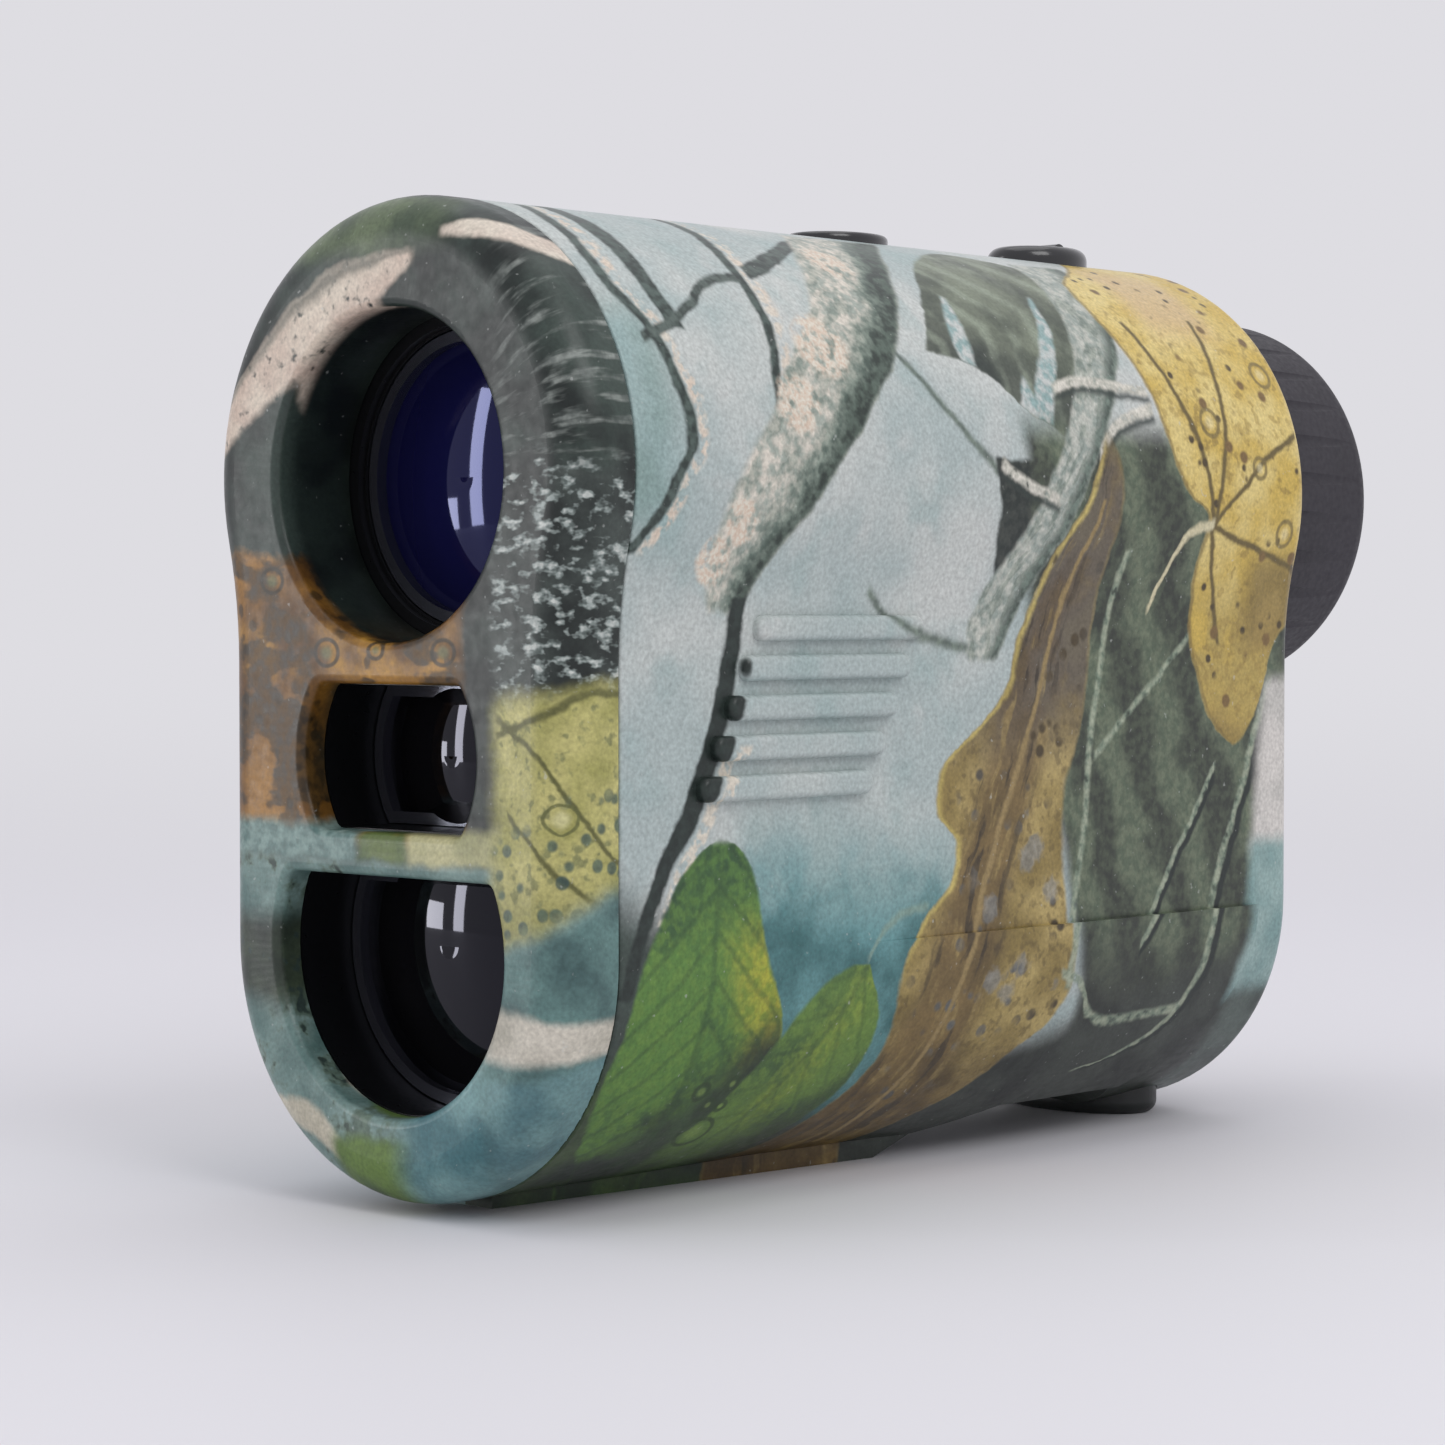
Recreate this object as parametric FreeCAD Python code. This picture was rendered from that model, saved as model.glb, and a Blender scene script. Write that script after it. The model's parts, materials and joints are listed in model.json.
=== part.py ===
import FreeCAD, Part

import math
import os

# Hand-held laser rangefinder, in millimetres.
# X runs across the body, Y runs from the front window face to the eyepiece, Z is up.
# The parts are drawn with Y = 0 on the front face and Z = 0 on the resting surface,
# and moved so that Y = 0 is the middle of the length when they are written.

# ---------------------------------------------------------------- driving sizes
body_length = 89.5
eyepiece_reach = 16.3
lobe_radius = 20.73
lower_half_width = 18.98
lower_axis_height = 19.68
lobe_axis_height = 54.97
waist_radius = 36.0
wall = 2.0
end_wall = 2.0
rear_edge_round = 1.6
seam_edge_round = 0.25

# clearances
seam_gap = 0.05
fit_gap = 0.10
loose_gap = 0.30
running_gap = 0.08
seat_gap = 0.05
solder_gap = 0.02

# front bezel and its windows
bezel_depth = 5.55
bezel_front_wall = 2.3
bezel_edge_round = 3.4
bezel_lip_depth = 2.4
window_rim_round = 0.7
window_corner_round = 1.0
objective_bore_radius = 12.4
objective_tunnel_depth = 7.4
emitter_bore_radius = 9.5
emitter_half_height = 5.5
receiver_bore_radius = 12.4
upper_window_land = 3.07
lower_window_land = 3.27
tunnel_wall = 1.5
gasket_thickness = 0.6

# underside
pad_start = 8.0
pad_end = 47.0
pad_front_half_width = 3.0
pad_rear_half_width = 7.0
arch_ramp = 11.0
arch_height = 3.6
foot_slope = 5.5
foot_rear_margin = 1.0
foot_half_width = 8.0
foot_half_length = 4.9
foot_slope_margin = 1.8
foot_thickness = 3.4
foot_edge_round = 1.1

# swelling round the battery
bulge_height = 0.7
bulge_start = 33.0
bulge_taper = 25.0
bulge_crease_below_axis = 0.28
bulge_rear_margin = 5.9
bulge_round_radius = 18.2

# raised bars on the flanks
grip_rib_count = 5
grip_rib_pitch = 2.95
grip_rib_width = 1.9
grip_rib_height = 0.9
grip_rib_end_round = 0.85
grip_rib_edge_round = 0.5
grip_rib_length = 19.0
grip_rib_stagger = 1.5
grip_rib_start = 13.4
grip_rib_bottom = 30.9

# screws that join the shells
screw_radius = 0.98
screw_pilot_radius = 1.0
screw_clearance_radius = 1.2
screw_head_radius = 2.0
screw_head_height = 1.4
screw_head_depth = 1.0
boss_radius = 2.6
screw_reach = 8.0
rear_screw_margin = 7.5
low_screw_place = 40.0
low_screw_height = 8.6
middle_screw_gap = 14.4
high_screw_margin = 0.7
high_screw_height = 11.23

# optical frame
frame_plate_start = 16.0
frame_plate_thickness = 2.5
frame_rib_width = 0.9
frame_rib_depth = 1.6
frame_tube_end = 36.0
frame_tube_wall = 1.4
shelf_half_width = 9.0
shelf_thickness = 1.5

# lens cells
objective_cell_wall = 0.9
objective_lens_margin = 1.2
objective_lens_start = 9.6
emitter_lens_start = 8.4
receiver_lens_start = 8.6
cell_wall = 1.2
cell_recess_gap = 0.1
retaining_ring_width = 0.9
retaining_ring_thickness = 1.2

# laser, receiver and boards
laser_barrel_radius = 4.6
laser_barrel_wall = 0.8
laser_barrel_end = 34.0
diode_radius = 2.8
board_thickness = 1.0
receiver_cone_rear_radius = 5.0
receiver_cone_wall = 1.0
receiver_cone_end = 42.0
photodiode_radius = 2.5
photodiode_board_radius = 6.0

# prisms and display
prism_length = 18.0
prism_half_width = 8.8
prism_half_height = 9.4
prism_air_gap = 0.6
prism_to_display = 6.0
holder_wall = 1.2
display_to_barrel = 3.0
display_half_width = 7.0
display_half_height = 7.0
display_thickness = 0.8
display_frame_edge = 1.6

# eyepiece
carriage_outer_radius = 11.35
carriage_wall = 1.15
carriage_length = 17.8
barrel_wall = 1.97
barrel_field_length = 13.5
barrel_field_wall = 1.4
barrel_flange_width = 2.4
barrel_flange_thickness = 3.2
barrel_slot_width = 1.4
focus_travel = 1.25
focus_pin_radius = 0.6
focus_pin_distance = 6.1
eyepiece_lens_edge = 2.2
diopter_gap = 0.4
diopter_core_wall = 1.82
diopter_grip_wall = 1.5
diopter_groove_count = 30
diopter_groove_radius = 0.8
diopter_groove_depth = 0.55
diopter_rear_round = 2.4
eyecup_depth = 2.2
eyecup_lip = 2.18

# buttons
measure_button_place = 50.4
measure_button_half_width = 3.8
measure_button_half_length = 4.8
measure_button_proud = 0.55
measure_button_dome = 0.45
mode_button_place = 77.3
mode_button_half_width = 4.0
mode_button_half_length = 5.0
mode_button_proud = 1.35
mode_button_dome = 1.1
mode_ridge_width = 1.4
mode_ridge_height = 0.3
button_gap = 0.2
button_flange = 1.0
button_flange_thickness = 1.0
button_flange_drop = 4.5
button_board_drop = 7.7
button_board_half_width = 10.0
button_board_margin = 6.2
button_seal_half_width = 6.8
button_seal_wall = 1.0
button_seal_top_drop = 5.4
button_seal_thickness = 0.5
switch_size = 4.5
switch_height = 1.2
small_screw_radius = 0.7
small_screw_head_radius = 1.3
small_screw_head_height = 0.8
small_screw_length = 2.6

# main board
main_board_side = -13.6
main_board_start = 24.0
main_board_length = 42.0
main_board_bottom = 14.0
main_board_top = 39.6
main_board_screw_inset = 3.5

# battery chamber
battery_radius = 7.8
battery_length = 26.0
battery_nub_radius = 3.0
battery_nub_height = 1.0
battery_end_room = 1.2
battery_tube_gap = 0.35
battery_tube_wall = 1.2
battery_spring_room = 2.0
battery_spring_radius = 4.2
battery_spring_wire = 0.35
battery_spring_turns = 2.5
battery_mouth_depth = 3.9
battery_neck_margin = 1.4
battery_neck_gap = 0.15
battery_lug_reach = 0.8
battery_lug_angle = 40.0
battery_lug_margin = 0.9
battery_lug_thickness = 1.2
battery_cap_margin = 0.7
battery_cap_proud = 0.7
battery_cap_slot_length = 12.0
battery_cap_slot_width = 1.8
battery_cap_slot_depth = 1.3
battery_cap_knurl_count = 28
battery_cap_knurl_radius = 0.4
o_ring_wire = 0.45

# ---------------------------------------------------------------- worked-out places
overall_length = body_length + eyepiece_reach
shell_start = bezel_depth + seam_gap
inner_end = body_length - end_wall
top_height = lobe_axis_height + lobe_radius

emitter_axis_height = lobe_axis_height - objective_bore_radius - upper_window_land - emitter_half_height
receiver_top_height = emitter_axis_height - emitter_half_height - lower_window_land
receiver_flat_above_axis = receiver_top_height - lower_axis_height
objective_lens_radius = objective_bore_radius - objective_lens_margin
cell_start = bezel_front_wall + fit_gap
cell_end = frame_plate_start - fit_gap
frame_plate_end = frame_plate_start + frame_plate_thickness
shelf_bottom = lobe_axis_height - objective_bore_radius - frame_tube_wall
shelf_top = shelf_bottom + shelf_thickness
receiver_cone_front_radius = emitter_axis_height - lower_axis_height - laser_barrel_radius - loose_gap

arch_start = pad_end + arch_ramp
foot_centre = body_length - foot_rear_margin - foot_half_length
foot_slope_end = foot_centre - foot_half_length + foot_slope_margin
arch_end = foot_slope_end - foot_slope
bulge_full = bulge_start + bulge_taper
bulge_end = body_length - bulge_rear_margin
bulge_round_centre = bulge_end - bulge_round_radius
bulge_crease_height = lower_axis_height - bulge_crease_below_axis

barrel_start = inner_end - barrel_field_length
display_start = barrel_start - display_to_barrel
shelf_end = display_start - 1.0
prism_end = display_start - prism_to_display
prism_start = prism_end - prism_length
barrel_bore_radius = carriage_outer_radius + running_gap
barrel_outer_radius = barrel_bore_radius + barrel_wall
barrel_field_radius = carriage_outer_radius - 0.95
diopter_start = body_length + diopter_gap
diopter_bore_radius = barrel_outer_radius + running_gap
diopter_core_radius = diopter_bore_radius + diopter_core_wall
diopter_grip_radius = diopter_core_radius + diopter_grip_wall
eyecup_start = overall_length - eyecup_depth
barrel_end = eyecup_start - 2 * fit_gap
carriage_end = barrel_end - 1.0
carriage_start = carriage_end - carriage_length
focus_pin_place = diopter_start + focus_pin_distance

battery_neck_radius = battery_radius + battery_neck_margin
battery_cap_radius = battery_neck_radius + battery_cap_margin
battery_mouth_start = inner_end - battery_mouth_depth
battery_lug_start = battery_mouth_start + battery_lug_margin
battery_end = battery_mouth_start - battery_end_room - battery_nub_height
battery_start = battery_end - battery_length
battery_tube_start = battery_start - battery_spring_room - battery_tube_wall

main_board_end = main_board_start + main_board_length
main_board_screw_places = [
    (main_board_start + main_board_screw_inset, main_board_top - main_board_screw_inset),
    (main_board_end - main_board_screw_inset, main_board_top - main_board_screw_inset),
    (main_board_start + main_board_screw_inset, main_board_bottom + main_board_screw_inset),
]
housing_screw_places = [
    (body_length - rear_screw_margin, emitter_axis_height + 1.4),
    (low_screw_place, low_screw_height),
    (laser_barrel_end + middle_screw_gap + boss_radius, emitter_axis_height + 1.4),
    (frame_tube_end + boss_radius + high_screw_margin, lobe_axis_height + high_screw_height),
]

along_x = FreeCAD.Vector(1, 0, 0)
along_y = FreeCAD.Vector(0, 1, 0)
along_z = FreeCAD.Vector(0, 0, 1)
far = 150.0


# ---------------------------------------------------------------- shape helpers
def vec(x, y, z):
    return FreeCAD.Vector(x, y, z)


def box(x0, x1, y0, y1, z0, z1):
    return Part.makeBox(x1 - x0, y1 - y0, z1 - z0, vec(x0, y0, z0))


def rod_y(radius, y0, y1, z, x=0.0):
    return Part.makeCylinder(radius, y1 - y0, vec(x, y0, z), along_y)


def rod_x(radius, x0, x1, y, z):
    return Part.makeCylinder(radius, x1 - x0, vec(x0, y, z), along_x)


def rod_z(radius, z0, z1, x, y):
    return Part.makeCylinder(radius, z1 - z0, vec(x, y, z0), along_z)


def tube_y(outer, inner, y0, y1, z):
    return rod_y(outer, y0, y1, z).cut(rod_y(inner, y0 - 1, y1 + 1, z))


def turned(profile, axis_height):
    """A closed outline of (radius, y) points turned about the Y axis at a height."""
    points = [vec(r, y, axis_height) for r, y in profile]
    wire = Part.makePolygon(points + [points[0]])
    return Part.Face(wire).revolve(vec(0, 0, axis_height), along_y, 360)


def side_solid(points, half_width):
    """A closed outline of (y, z) points drawn out both ways along X."""
    corners = [vec(-half_width, y, z) for y, z in points]
    wire = Part.makePolygon(corners + [corners[0]])
    return Part.Face(wire).extrude(vec(2 * half_width, 0, 0))


def ellipse_post(half_width, half_length, y, z0, z1):
    """An upright post with an elliptical plan."""
    if half_width > half_length:
        curve = Part.Ellipse(vec(half_width, y, z0), vec(0, y + half_length, z0), vec(0, y, z0))
    else:
        curve = Part.Ellipse(vec(0, y + half_length, z0), vec(-half_width, y, z0), vec(0, y, z0))
    return Part.Face(Part.Wire(curve.toShape())).extrude(vec(0, 0, z1 - z0))


def lens(radius, y0, y1, front_crown, rear_crown, axis_height):
    """A round lens whose edge runs from y0 to y1; a crown above 0 bulges outwards."""
    centre_front = vec(0, y0 - front_crown, axis_height)
    centre_rear = vec(0, y1 + rear_crown, axis_height)
    edge_front = vec(radius, y0, axis_height)
    edge_rear = vec(radius, y1, axis_height)
    edges = [
        crown_edge(centre_front, edge_front, front_crown, radius, -1),
        Part.makeLine(edge_front, edge_rear),
        crown_edge(edge_rear, centre_rear, rear_crown, radius, 1),
        Part.makeLine(centre_rear, centre_front),
    ]
    return Part.Face(Part.Wire(edges)).revolve(vec(0, 0, axis_height), along_y, 360)


def crown_edge(start, end, crown, radius, side):
    """A circular arc from the axis to the lens edge, or a line when the face is flat."""
    if abs(crown) < 1e-6:
        return Part.makeLine(start, end)
    curve_radius = (radius ** 2 + crown ** 2) / (2 * abs(crown))
    half = radius / 2
    sag = curve_radius - math.sqrt(curve_radius ** 2 - half ** 2)
    apex = start if abs(start.x) < abs(end.x) else end
    middle = vec(half, apex.y - side * math.copysign(sag, crown), start.z)
    return Part.Arc(start, middle, end).toShape()


def outline(inset, y):
    """The body's section: a round upper lobe, hollow flanks and a round lower end."""
    upper = lobe_radius - inset
    lower = lower_half_width - inset
    hollow = waist_radius + inset
    reach = lobe_radius + waist_radius
    hollow_x = lower_half_width + waist_radius
    drop = math.sqrt(reach ** 2 - hollow_x ** 2)
    hollow_z = lobe_axis_height - drop
    join = upper / reach
    join_x = hollow_x * join
    join_z = lobe_axis_height - drop * join
    half_turn = 0.5 * math.asin(drop / reach)
    mid_x = hollow_x - hollow * math.cos(half_turn)
    mid_z = hollow_z + hollow * math.sin(half_turn)
    top = vec(0, y, lobe_axis_height + upper)
    bottom = vec(0, y, lower_axis_height - lower)
    right_join = vec(join_x, y, join_z)
    left_join = vec(-join_x, y, join_z)
    right_side = vec(lower, y, hollow_z)
    left_side = vec(-lower, y, hollow_z)
    right_low = vec(lower, y, lower_axis_height)
    left_low = vec(-lower, y, lower_axis_height)
    return Part.Wire([
        Part.Arc(left_join, top, right_join).toShape(),
        Part.Arc(right_join, vec(mid_x, y, mid_z), right_side).toShape(),
        Part.makeLine(right_side, right_low),
        Part.Arc(right_low, bottom, left_low).toShape(),
        Part.makeLine(left_low, left_side),
        Part.Arc(left_side, vec(-mid_x, y, mid_z), left_join).toShape(),
    ])


def body_prism(inset, y0, y1):
    return Part.Face(outline(inset, y0)).extrude(vec(0, y1 - y0, 0))


def edges_at(shape, y):
    """The edges that lie in one plane square to Y."""
    return [e for e in shape.Edges if all(abs(v.Y - y) < 1e-4 for v in e.Vertexes)]


def joined(shapes):
    whole = shapes[0]
    for shape in shapes[1:]:
        whole = whole.fuse(shape)
    return whole.removeSplitter()


def without(shape, cuts):
    for cut in cuts:
        shape = shape.cut(cut)
    return shape


def cross_recess(radius, depth, centre, direction):
    """Two crossed slots in a screw head; direction is the way the head faces."""
    arm = radius * 0.55
    half = radius * 0.14
    if direction == "x":
        x = centre.x
        return [
            box(x - depth, x + depth, centre.y - arm, centre.y + arm, centre.z - half, centre.z + half),
            box(x - depth, x + depth, centre.y - half, centre.y + half, centre.z - arm, centre.z + arm),
        ]
    z = centre.z
    return [
        box(centre.x - arm, centre.x + arm, centre.y - half, centre.y + half, z - depth, z + depth),
        box(centre.x - half, centre.x + half, centre.y - arm, centre.y + arm, z - depth, z + depth),
    ]


# ---------------------------------------------------------------- window shapes
def emitter_window(y0, y1, grow=0.0):
    """The middle window: a round hole cut flat above and below."""
    half = emitter_half_height + grow
    slab = box(-far, far, y0, y1, emitter_axis_height - half, emitter_axis_height + half)
    return rod_y(emitter_bore_radius + grow, y0, y1, emitter_axis_height).common(slab)


def receiver_window(y0, y1, grow=0.0):
    """The lower window: a round hole cut flat above."""
    top = lower_axis_height + receiver_flat_above_axis + grow
    slab = box(-far, far, y0, y1, -far, top)
    return rod_y(receiver_bore_radius + grow, y0, y1, lower_axis_height).common(slab)


def objective_window(y0, y1, grow=0.0):
    return rod_y(objective_bore_radius + grow, y0, y1, lobe_axis_height)


def soft_corners(window):
    """Round the upright corners of a window plug."""
    corners = []
    for edge in window.Edges:
        ends = edge.Vertexes
        if len(ends) == 2 and abs(ends[0].Y - ends[1].Y) > 1.0:
            straight = abs(ends[0].X - ends[1].X) + abs(ends[0].Z - ends[1].Z) < 1e-4
            if straight and abs(ends[0].X) > 1.0:
                corners.append(edge)
    return window.makeFillet(window_corner_round, corners)


# ---------------------------------------------------------------- housing
def make_front_bezel():
    block = body_prism(0.0, 0.0, bezel_depth)
    block = block.makeFillet(bezel_edge_round, edges_at(block, 0.0))
    block = block.makeFillet(seam_edge_round, outer_rear_edges(block))
    pocket = body_prism(wall, bezel_front_wall, bezel_depth + 1)
    lip = body_prism(wall + fit_gap, bezel_front_wall, bezel_depth + bezel_lip_depth)
    lip = lip.cut(body_prism(2 * wall, bezel_front_wall - 1, far))
    tunnel = rod_y(objective_bore_radius + tunnel_wall, bezel_front_wall, objective_tunnel_depth,
                   lobe_axis_height)
    solid = joined([block.cut(pocket), lip, tunnel])
    windows = [
        objective_window(-1, far),
        soft_corners(emitter_window(-1, far)),
        soft_corners(receiver_window(-1, far)),
    ]
    solid = without(solid, windows)
    rims = [e for e in edges_at(solid, 0.0) if rim_edge(e)]
    return solid.makeFillet(window_rim_round, rims)


def outer_rear_edges(block):
    return edges_at(block, bezel_depth)


def rim_edge(edge):
    """True for an edge of a window rim: it lies well inside the flat front face."""
    limit = lower_half_width - bezel_edge_round - 0.5
    middle = edge.valueAt((edge.FirstParameter + edge.LastParameter) / 2)
    low = abs(middle.z - lower_axis_height)
    if middle.z < lower_axis_height:
        return math.hypot(middle.x, low) < limit
    if middle.z > lobe_axis_height:
        return math.hypot(middle.x, middle.z - lobe_axis_height) < limit
    return abs(middle.x) < limit


def make_bezel_gasket():
    start = bezel_depth + bezel_lip_depth + fit_gap
    ring = body_prism(wall + fit_gap, start, start + gasket_thickness)
    return ring.cut(body_prism(2 * wall, start - 1, start + gasket_thickness + 1))


def underside_cut(raise_by):
    """The space under the body between the front pad and the rear foot."""
    top = arch_height + raise_by
    return side_solid([
        (pad_end, -far),
        (pad_end, raise_by),
        (arch_start, top),
        (arch_end, top),
        (foot_slope_end, raise_by),
        (foot_slope_end, -far),
    ], far)


def make_bulge():
    """The swelling round the battery, which fades out towards the front."""
    taper = Part.makeLoft([outline(0.0, bulge_start), outline(-bulge_height, bulge_full)], True, True)
    rear = body_prism(-bulge_height, bulge_full, bulge_end)
    disc = rod_x(bulge_round_radius, -far, far, bulge_round_centre, bulge_crease_height)
    front = box(-far, far, bulge_start, bulge_round_centre, -far, bulge_crease_height)
    below = box(-far, far, bulge_start, body_length, -far, bulge_crease_height)
    profile = disc.fuse(front).common(below)
    return taper.fuse(rear).common(profile)


def make_pad():
    """The flat land under the front of the body, wider at its rear, that meets the arch."""
    corners = [
        vec(-pad_front_half_width, pad_start, 0),
        vec(pad_front_half_width, pad_start, 0),
        vec(pad_rear_half_width, pad_end, 0),
        vec(pad_rear_half_width, arch_start, 0),
        vec(-pad_rear_half_width, arch_start, 0),
        vec(-pad_rear_half_width, pad_end, 0),
    ]
    face = Part.Face(Part.makePolygon(corners + [corners[0]]))
    return face.extrude(vec(0, 0, lower_axis_height - lower_half_width + wall))


def make_grip_ribs():
    """Plain raised bars on both flanks, each set back a little from the one below."""
    bars = []
    for row in range(grip_rib_count):
        low = grip_rib_bottom + row * grip_rib_pitch
        start = grip_rib_start + row * grip_rib_stagger
        outer = lower_half_width + grip_rib_height
        bar = box(0, outer, start, start + grip_rib_length, low, low + grip_rib_width)
        ends = [e for e in bar.Edges if abs(e.Length - outer) < 1e-4]
        bar = bar.makeFillet(grip_rib_end_round, ends)
        face = [e for e in bar.Edges if all(abs(v.X - outer) < 1e-4 for v in e.Vertexes)]
        bar = bar.makeFillet(grip_rib_edge_round, face)
        bar = bar.cut(box(-1, lower_half_width - wall / 2, 0, far, 0, far))
        bars.append(bar)
        bars.append(bar.mirror(vec(0, 0, 0), along_x))
    return bars


def foot_pocket():
    return ellipse_post(foot_half_width + fit_gap, foot_half_length + fit_gap, foot_centre, -1,
                        foot_thickness + fit_gap)


def shell_inside():
    """The hollow of the two shells, with the ribs that hold the optical frame left in."""
    hollow = body_prism(wall, shell_start - 1, inner_end)
    hollow = hollow.cut(underside_cut(wall))
    foot_block = box(-foot_half_width - wall, foot_half_width + wall,
                     foot_centre - foot_half_length - wall, inner_end + 1,
                     -1, foot_thickness + wall)
    hollow = hollow.cut(foot_block)
    for start in (frame_plate_start - fit_gap - frame_rib_width, frame_plate_end + fit_gap):
        rib = body_prism(wall - 0.5, start, start + frame_rib_width)
        rib = rib.cut(body_prism(wall + frame_rib_depth, start - 1, start + frame_rib_width + 1))
        hollow = hollow.cut(rib)
    return hollow


def shell_outside():
    block = body_prism(0.0, shell_start, body_length)
    block = block.makeFillet(rear_edge_round, edges_at(block, body_length))
    block = block.makeFillet(seam_edge_round, edges_at(block, shell_start))
    return block.fuse(make_bulge())


def make_shells():
    outside = shell_outside()
    outside = outside.fuse(make_pad()).cut(underside_cut(0.0)).removeSplitter()
    outside = joined([outside] + make_grip_ribs())
    shell = outside.cut(shell_inside())
    ledges = board_ledges().common(body_prism(0.5, shell_start, inner_end))
    shell = shell.fuse(ledges)
    for y, z in housing_screw_places:
        boss = rod_x(boss_radius, -far, far, y, z)
        shell = shell.fuse(boss.common(body_prism(wall - 0.5, shell_start, inner_end)))
    for y, z in main_board_screw_places:
        post = rod_x(boss_radius, -far, main_board_side, y, z)
        shell = shell.fuse(post.common(body_prism(wall - 0.5, shell_start, inner_end)))
    cuts = [
        foot_pocket(),
        rod_y(barrel_outer_radius + fit_gap, inner_end - 1, body_length + 1, lobe_axis_height),
        rod_y(battery_cap_radius + loose_gap, inner_end - 1, body_length + 1, lower_axis_height),
        button_hole(measure_button_half_width, measure_button_half_length, measure_button_place),
        button_hole(mode_button_half_width, mode_button_half_length, mode_button_place),
    ]
    for y, z in main_board_screw_places:
        cuts.append(rod_x(small_screw_radius, main_board_side - board_screw_grip() - 0.1, 0, y, z))
    for x, y in button_board_screw_places():
        cuts.append(rod_z(small_screw_radius, button_board_bottom() - board_screw_grip() - 0.1,
                          button_board_bottom() + 1, x, y))
    shell = without(shell, cuts)
    right = shell.common(box(0, far, -far, 2 * far, -far, 2 * far))
    left = shell.common(box(-far, 0, -far, 2 * far, -far, 2 * far))
    for y, z in housing_screw_places:
        right = right.cut(rod_x(screw_pilot_radius, -1, screw_reach + 1, y, z))
        left = left.cut(rod_x(screw_clearance_radius, -far, 1, y, z))
        head_seat = screw_head_x(y, z) + screw_head_height
        left = left.cut(rod_x(screw_head_radius + fit_gap, -far, head_seat, y, z))
    return right.removeSplitter(), left.removeSplitter()


def flank_x(z):
    """The distance from the centre plane to the outer surface at a height."""
    if z > lobe_axis_height:
        return math.sqrt(lobe_radius ** 2 - (z - lobe_axis_height) ** 2)
    if z < lower_axis_height:
        return math.sqrt(lower_half_width ** 2 - (z - lower_axis_height) ** 2)
    return lower_half_width


def screw_head_x(y, z):
    """The outer face of a housing screw's head, sunk below the left flank."""
    lean = screw_head_radius if z > lobe_axis_height or z < lower_axis_height else 0.0
    return -(flank_x(z) - screw_head_depth - lean)


def make_housing_screws():
    screws = []
    for y, z in housing_screw_places:
        head_x = screw_head_x(y, z)
        head = rod_x(screw_head_radius, head_x, head_x + screw_head_height, y, z)
        shank = rod_x(screw_radius, head_x, screw_reach, y, z)
        recess = cross_recess(screw_head_radius, screw_head_height * 0.6, vec(head_x, y, z), "x")
        screws.append(without(head.fuse(shank), recess).removeSplitter())
    return Part.makeCompound(screws)


def make_rear_foot():
    foot = ellipse_post(foot_half_width, foot_half_length, foot_centre, 0, foot_thickness)
    rim = [e for e in foot.Edges if all(abs(v.Z) < 1e-4 for v in e.Vertexes)]
    return foot.makeFillet(foot_edge_round, rim)


# ---------------------------------------------------------------- optical frame and lens cells
def make_optical_frame():
    plate = body_prism(wall + fit_gap, frame_plate_start, frame_plate_end)
    tube = rod_y(objective_bore_radius + frame_tube_wall, frame_plate_start, frame_tube_end,
                 lobe_axis_height)
    shelf = box(-shelf_half_width, shelf_half_width, frame_plate_start, shelf_end,
                shelf_bottom, shelf_top)
    frame = joined([plate, tube, shelf])
    bore = rod_y(objective_bore_radius, frame_plate_start - 1, frame_tube_end + 1, lobe_axis_height)
    laser_hole = rod_y(laser_barrel_radius - laser_barrel_wall, 0, frame_plate_end + 1,
                       emitter_axis_height)
    light_hole = rod_y(receiver_cone_front_radius - receiver_cone_wall, 0, frame_plate_end + 1,
                       lower_axis_height)
    return without(frame, [bore, laser_hole, light_hole])


def make_objective_cell():
    start = objective_tunnel_depth + fit_gap
    outer = objective_bore_radius + tunnel_wall
    inner = objective_bore_radius - objective_cell_wall
    ring_start = objective_lens_start - retaining_ring_thickness
    seat = objective_lens_start + 6.0
    return turned([
        (inner, start),
        (outer, start),
        (outer, cell_end),
        (inner - 1.2, cell_end),
        (inner - 1.2, seat),
        (objective_lens_radius + running_gap, seat),
        (objective_lens_radius + running_gap, ring_start - 0.2),
        (inner, ring_start - 0.2),
    ], lobe_axis_height)


def make_objective_front_lens():
    return lens(objective_lens_radius, objective_lens_start, objective_lens_start + 2.6,
                1.5, 0.6, lobe_axis_height)


def make_objective_rear_lens():
    start = objective_lens_start + 2.7
    return lens(objective_lens_radius, start, start + 3.2, -0.6, -0.8, lobe_axis_height)


def make_objective_retaining_ring():
    start = objective_lens_start - retaining_ring_thickness
    ring = tube_y(objective_lens_radius, objective_lens_radius - retaining_ring_width,
                  start, objective_lens_start, lobe_axis_height)
    return ring.cut(make_objective_front_lens())


def make_emitter_cell():
    block = emitter_window(cell_start, cell_end, cell_wall)
    recess = emitter_window(0, emitter_lens_start + 3.0, -cell_recess_gap)
    exit_radius = laser_barrel_radius - 2 * laser_barrel_wall
    cone = Part.makeCone(emitter_half_height - 0.3, exit_radius, cell_end - emitter_lens_start,
                         vec(0, emitter_lens_start, emitter_axis_height), along_y)
    tail = rod_y(exit_radius, cell_end - 1, cell_end + 1, emitter_axis_height)
    return without(block, [recess, cone, tail])


def flat_lens(radius, half_low, half_high, y0, y1, crown, axis_height):
    """A round lens ground flat above, and below when the lower height is finite."""
    blank = lens(radius, y0, y1, crown, 0.0, axis_height)
    slab = box(-far, far, 0, far, axis_height - half_low, axis_height + half_high)
    return blank.common(slab)


def make_emitter_lens():
    half = emitter_half_height - cell_recess_gap - fit_gap
    radius = emitter_bore_radius - cell_recess_gap - fit_gap
    return flat_lens(radius, half, half, emitter_lens_start,
                     emitter_lens_start + 2.9, 1.7, emitter_axis_height)


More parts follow.
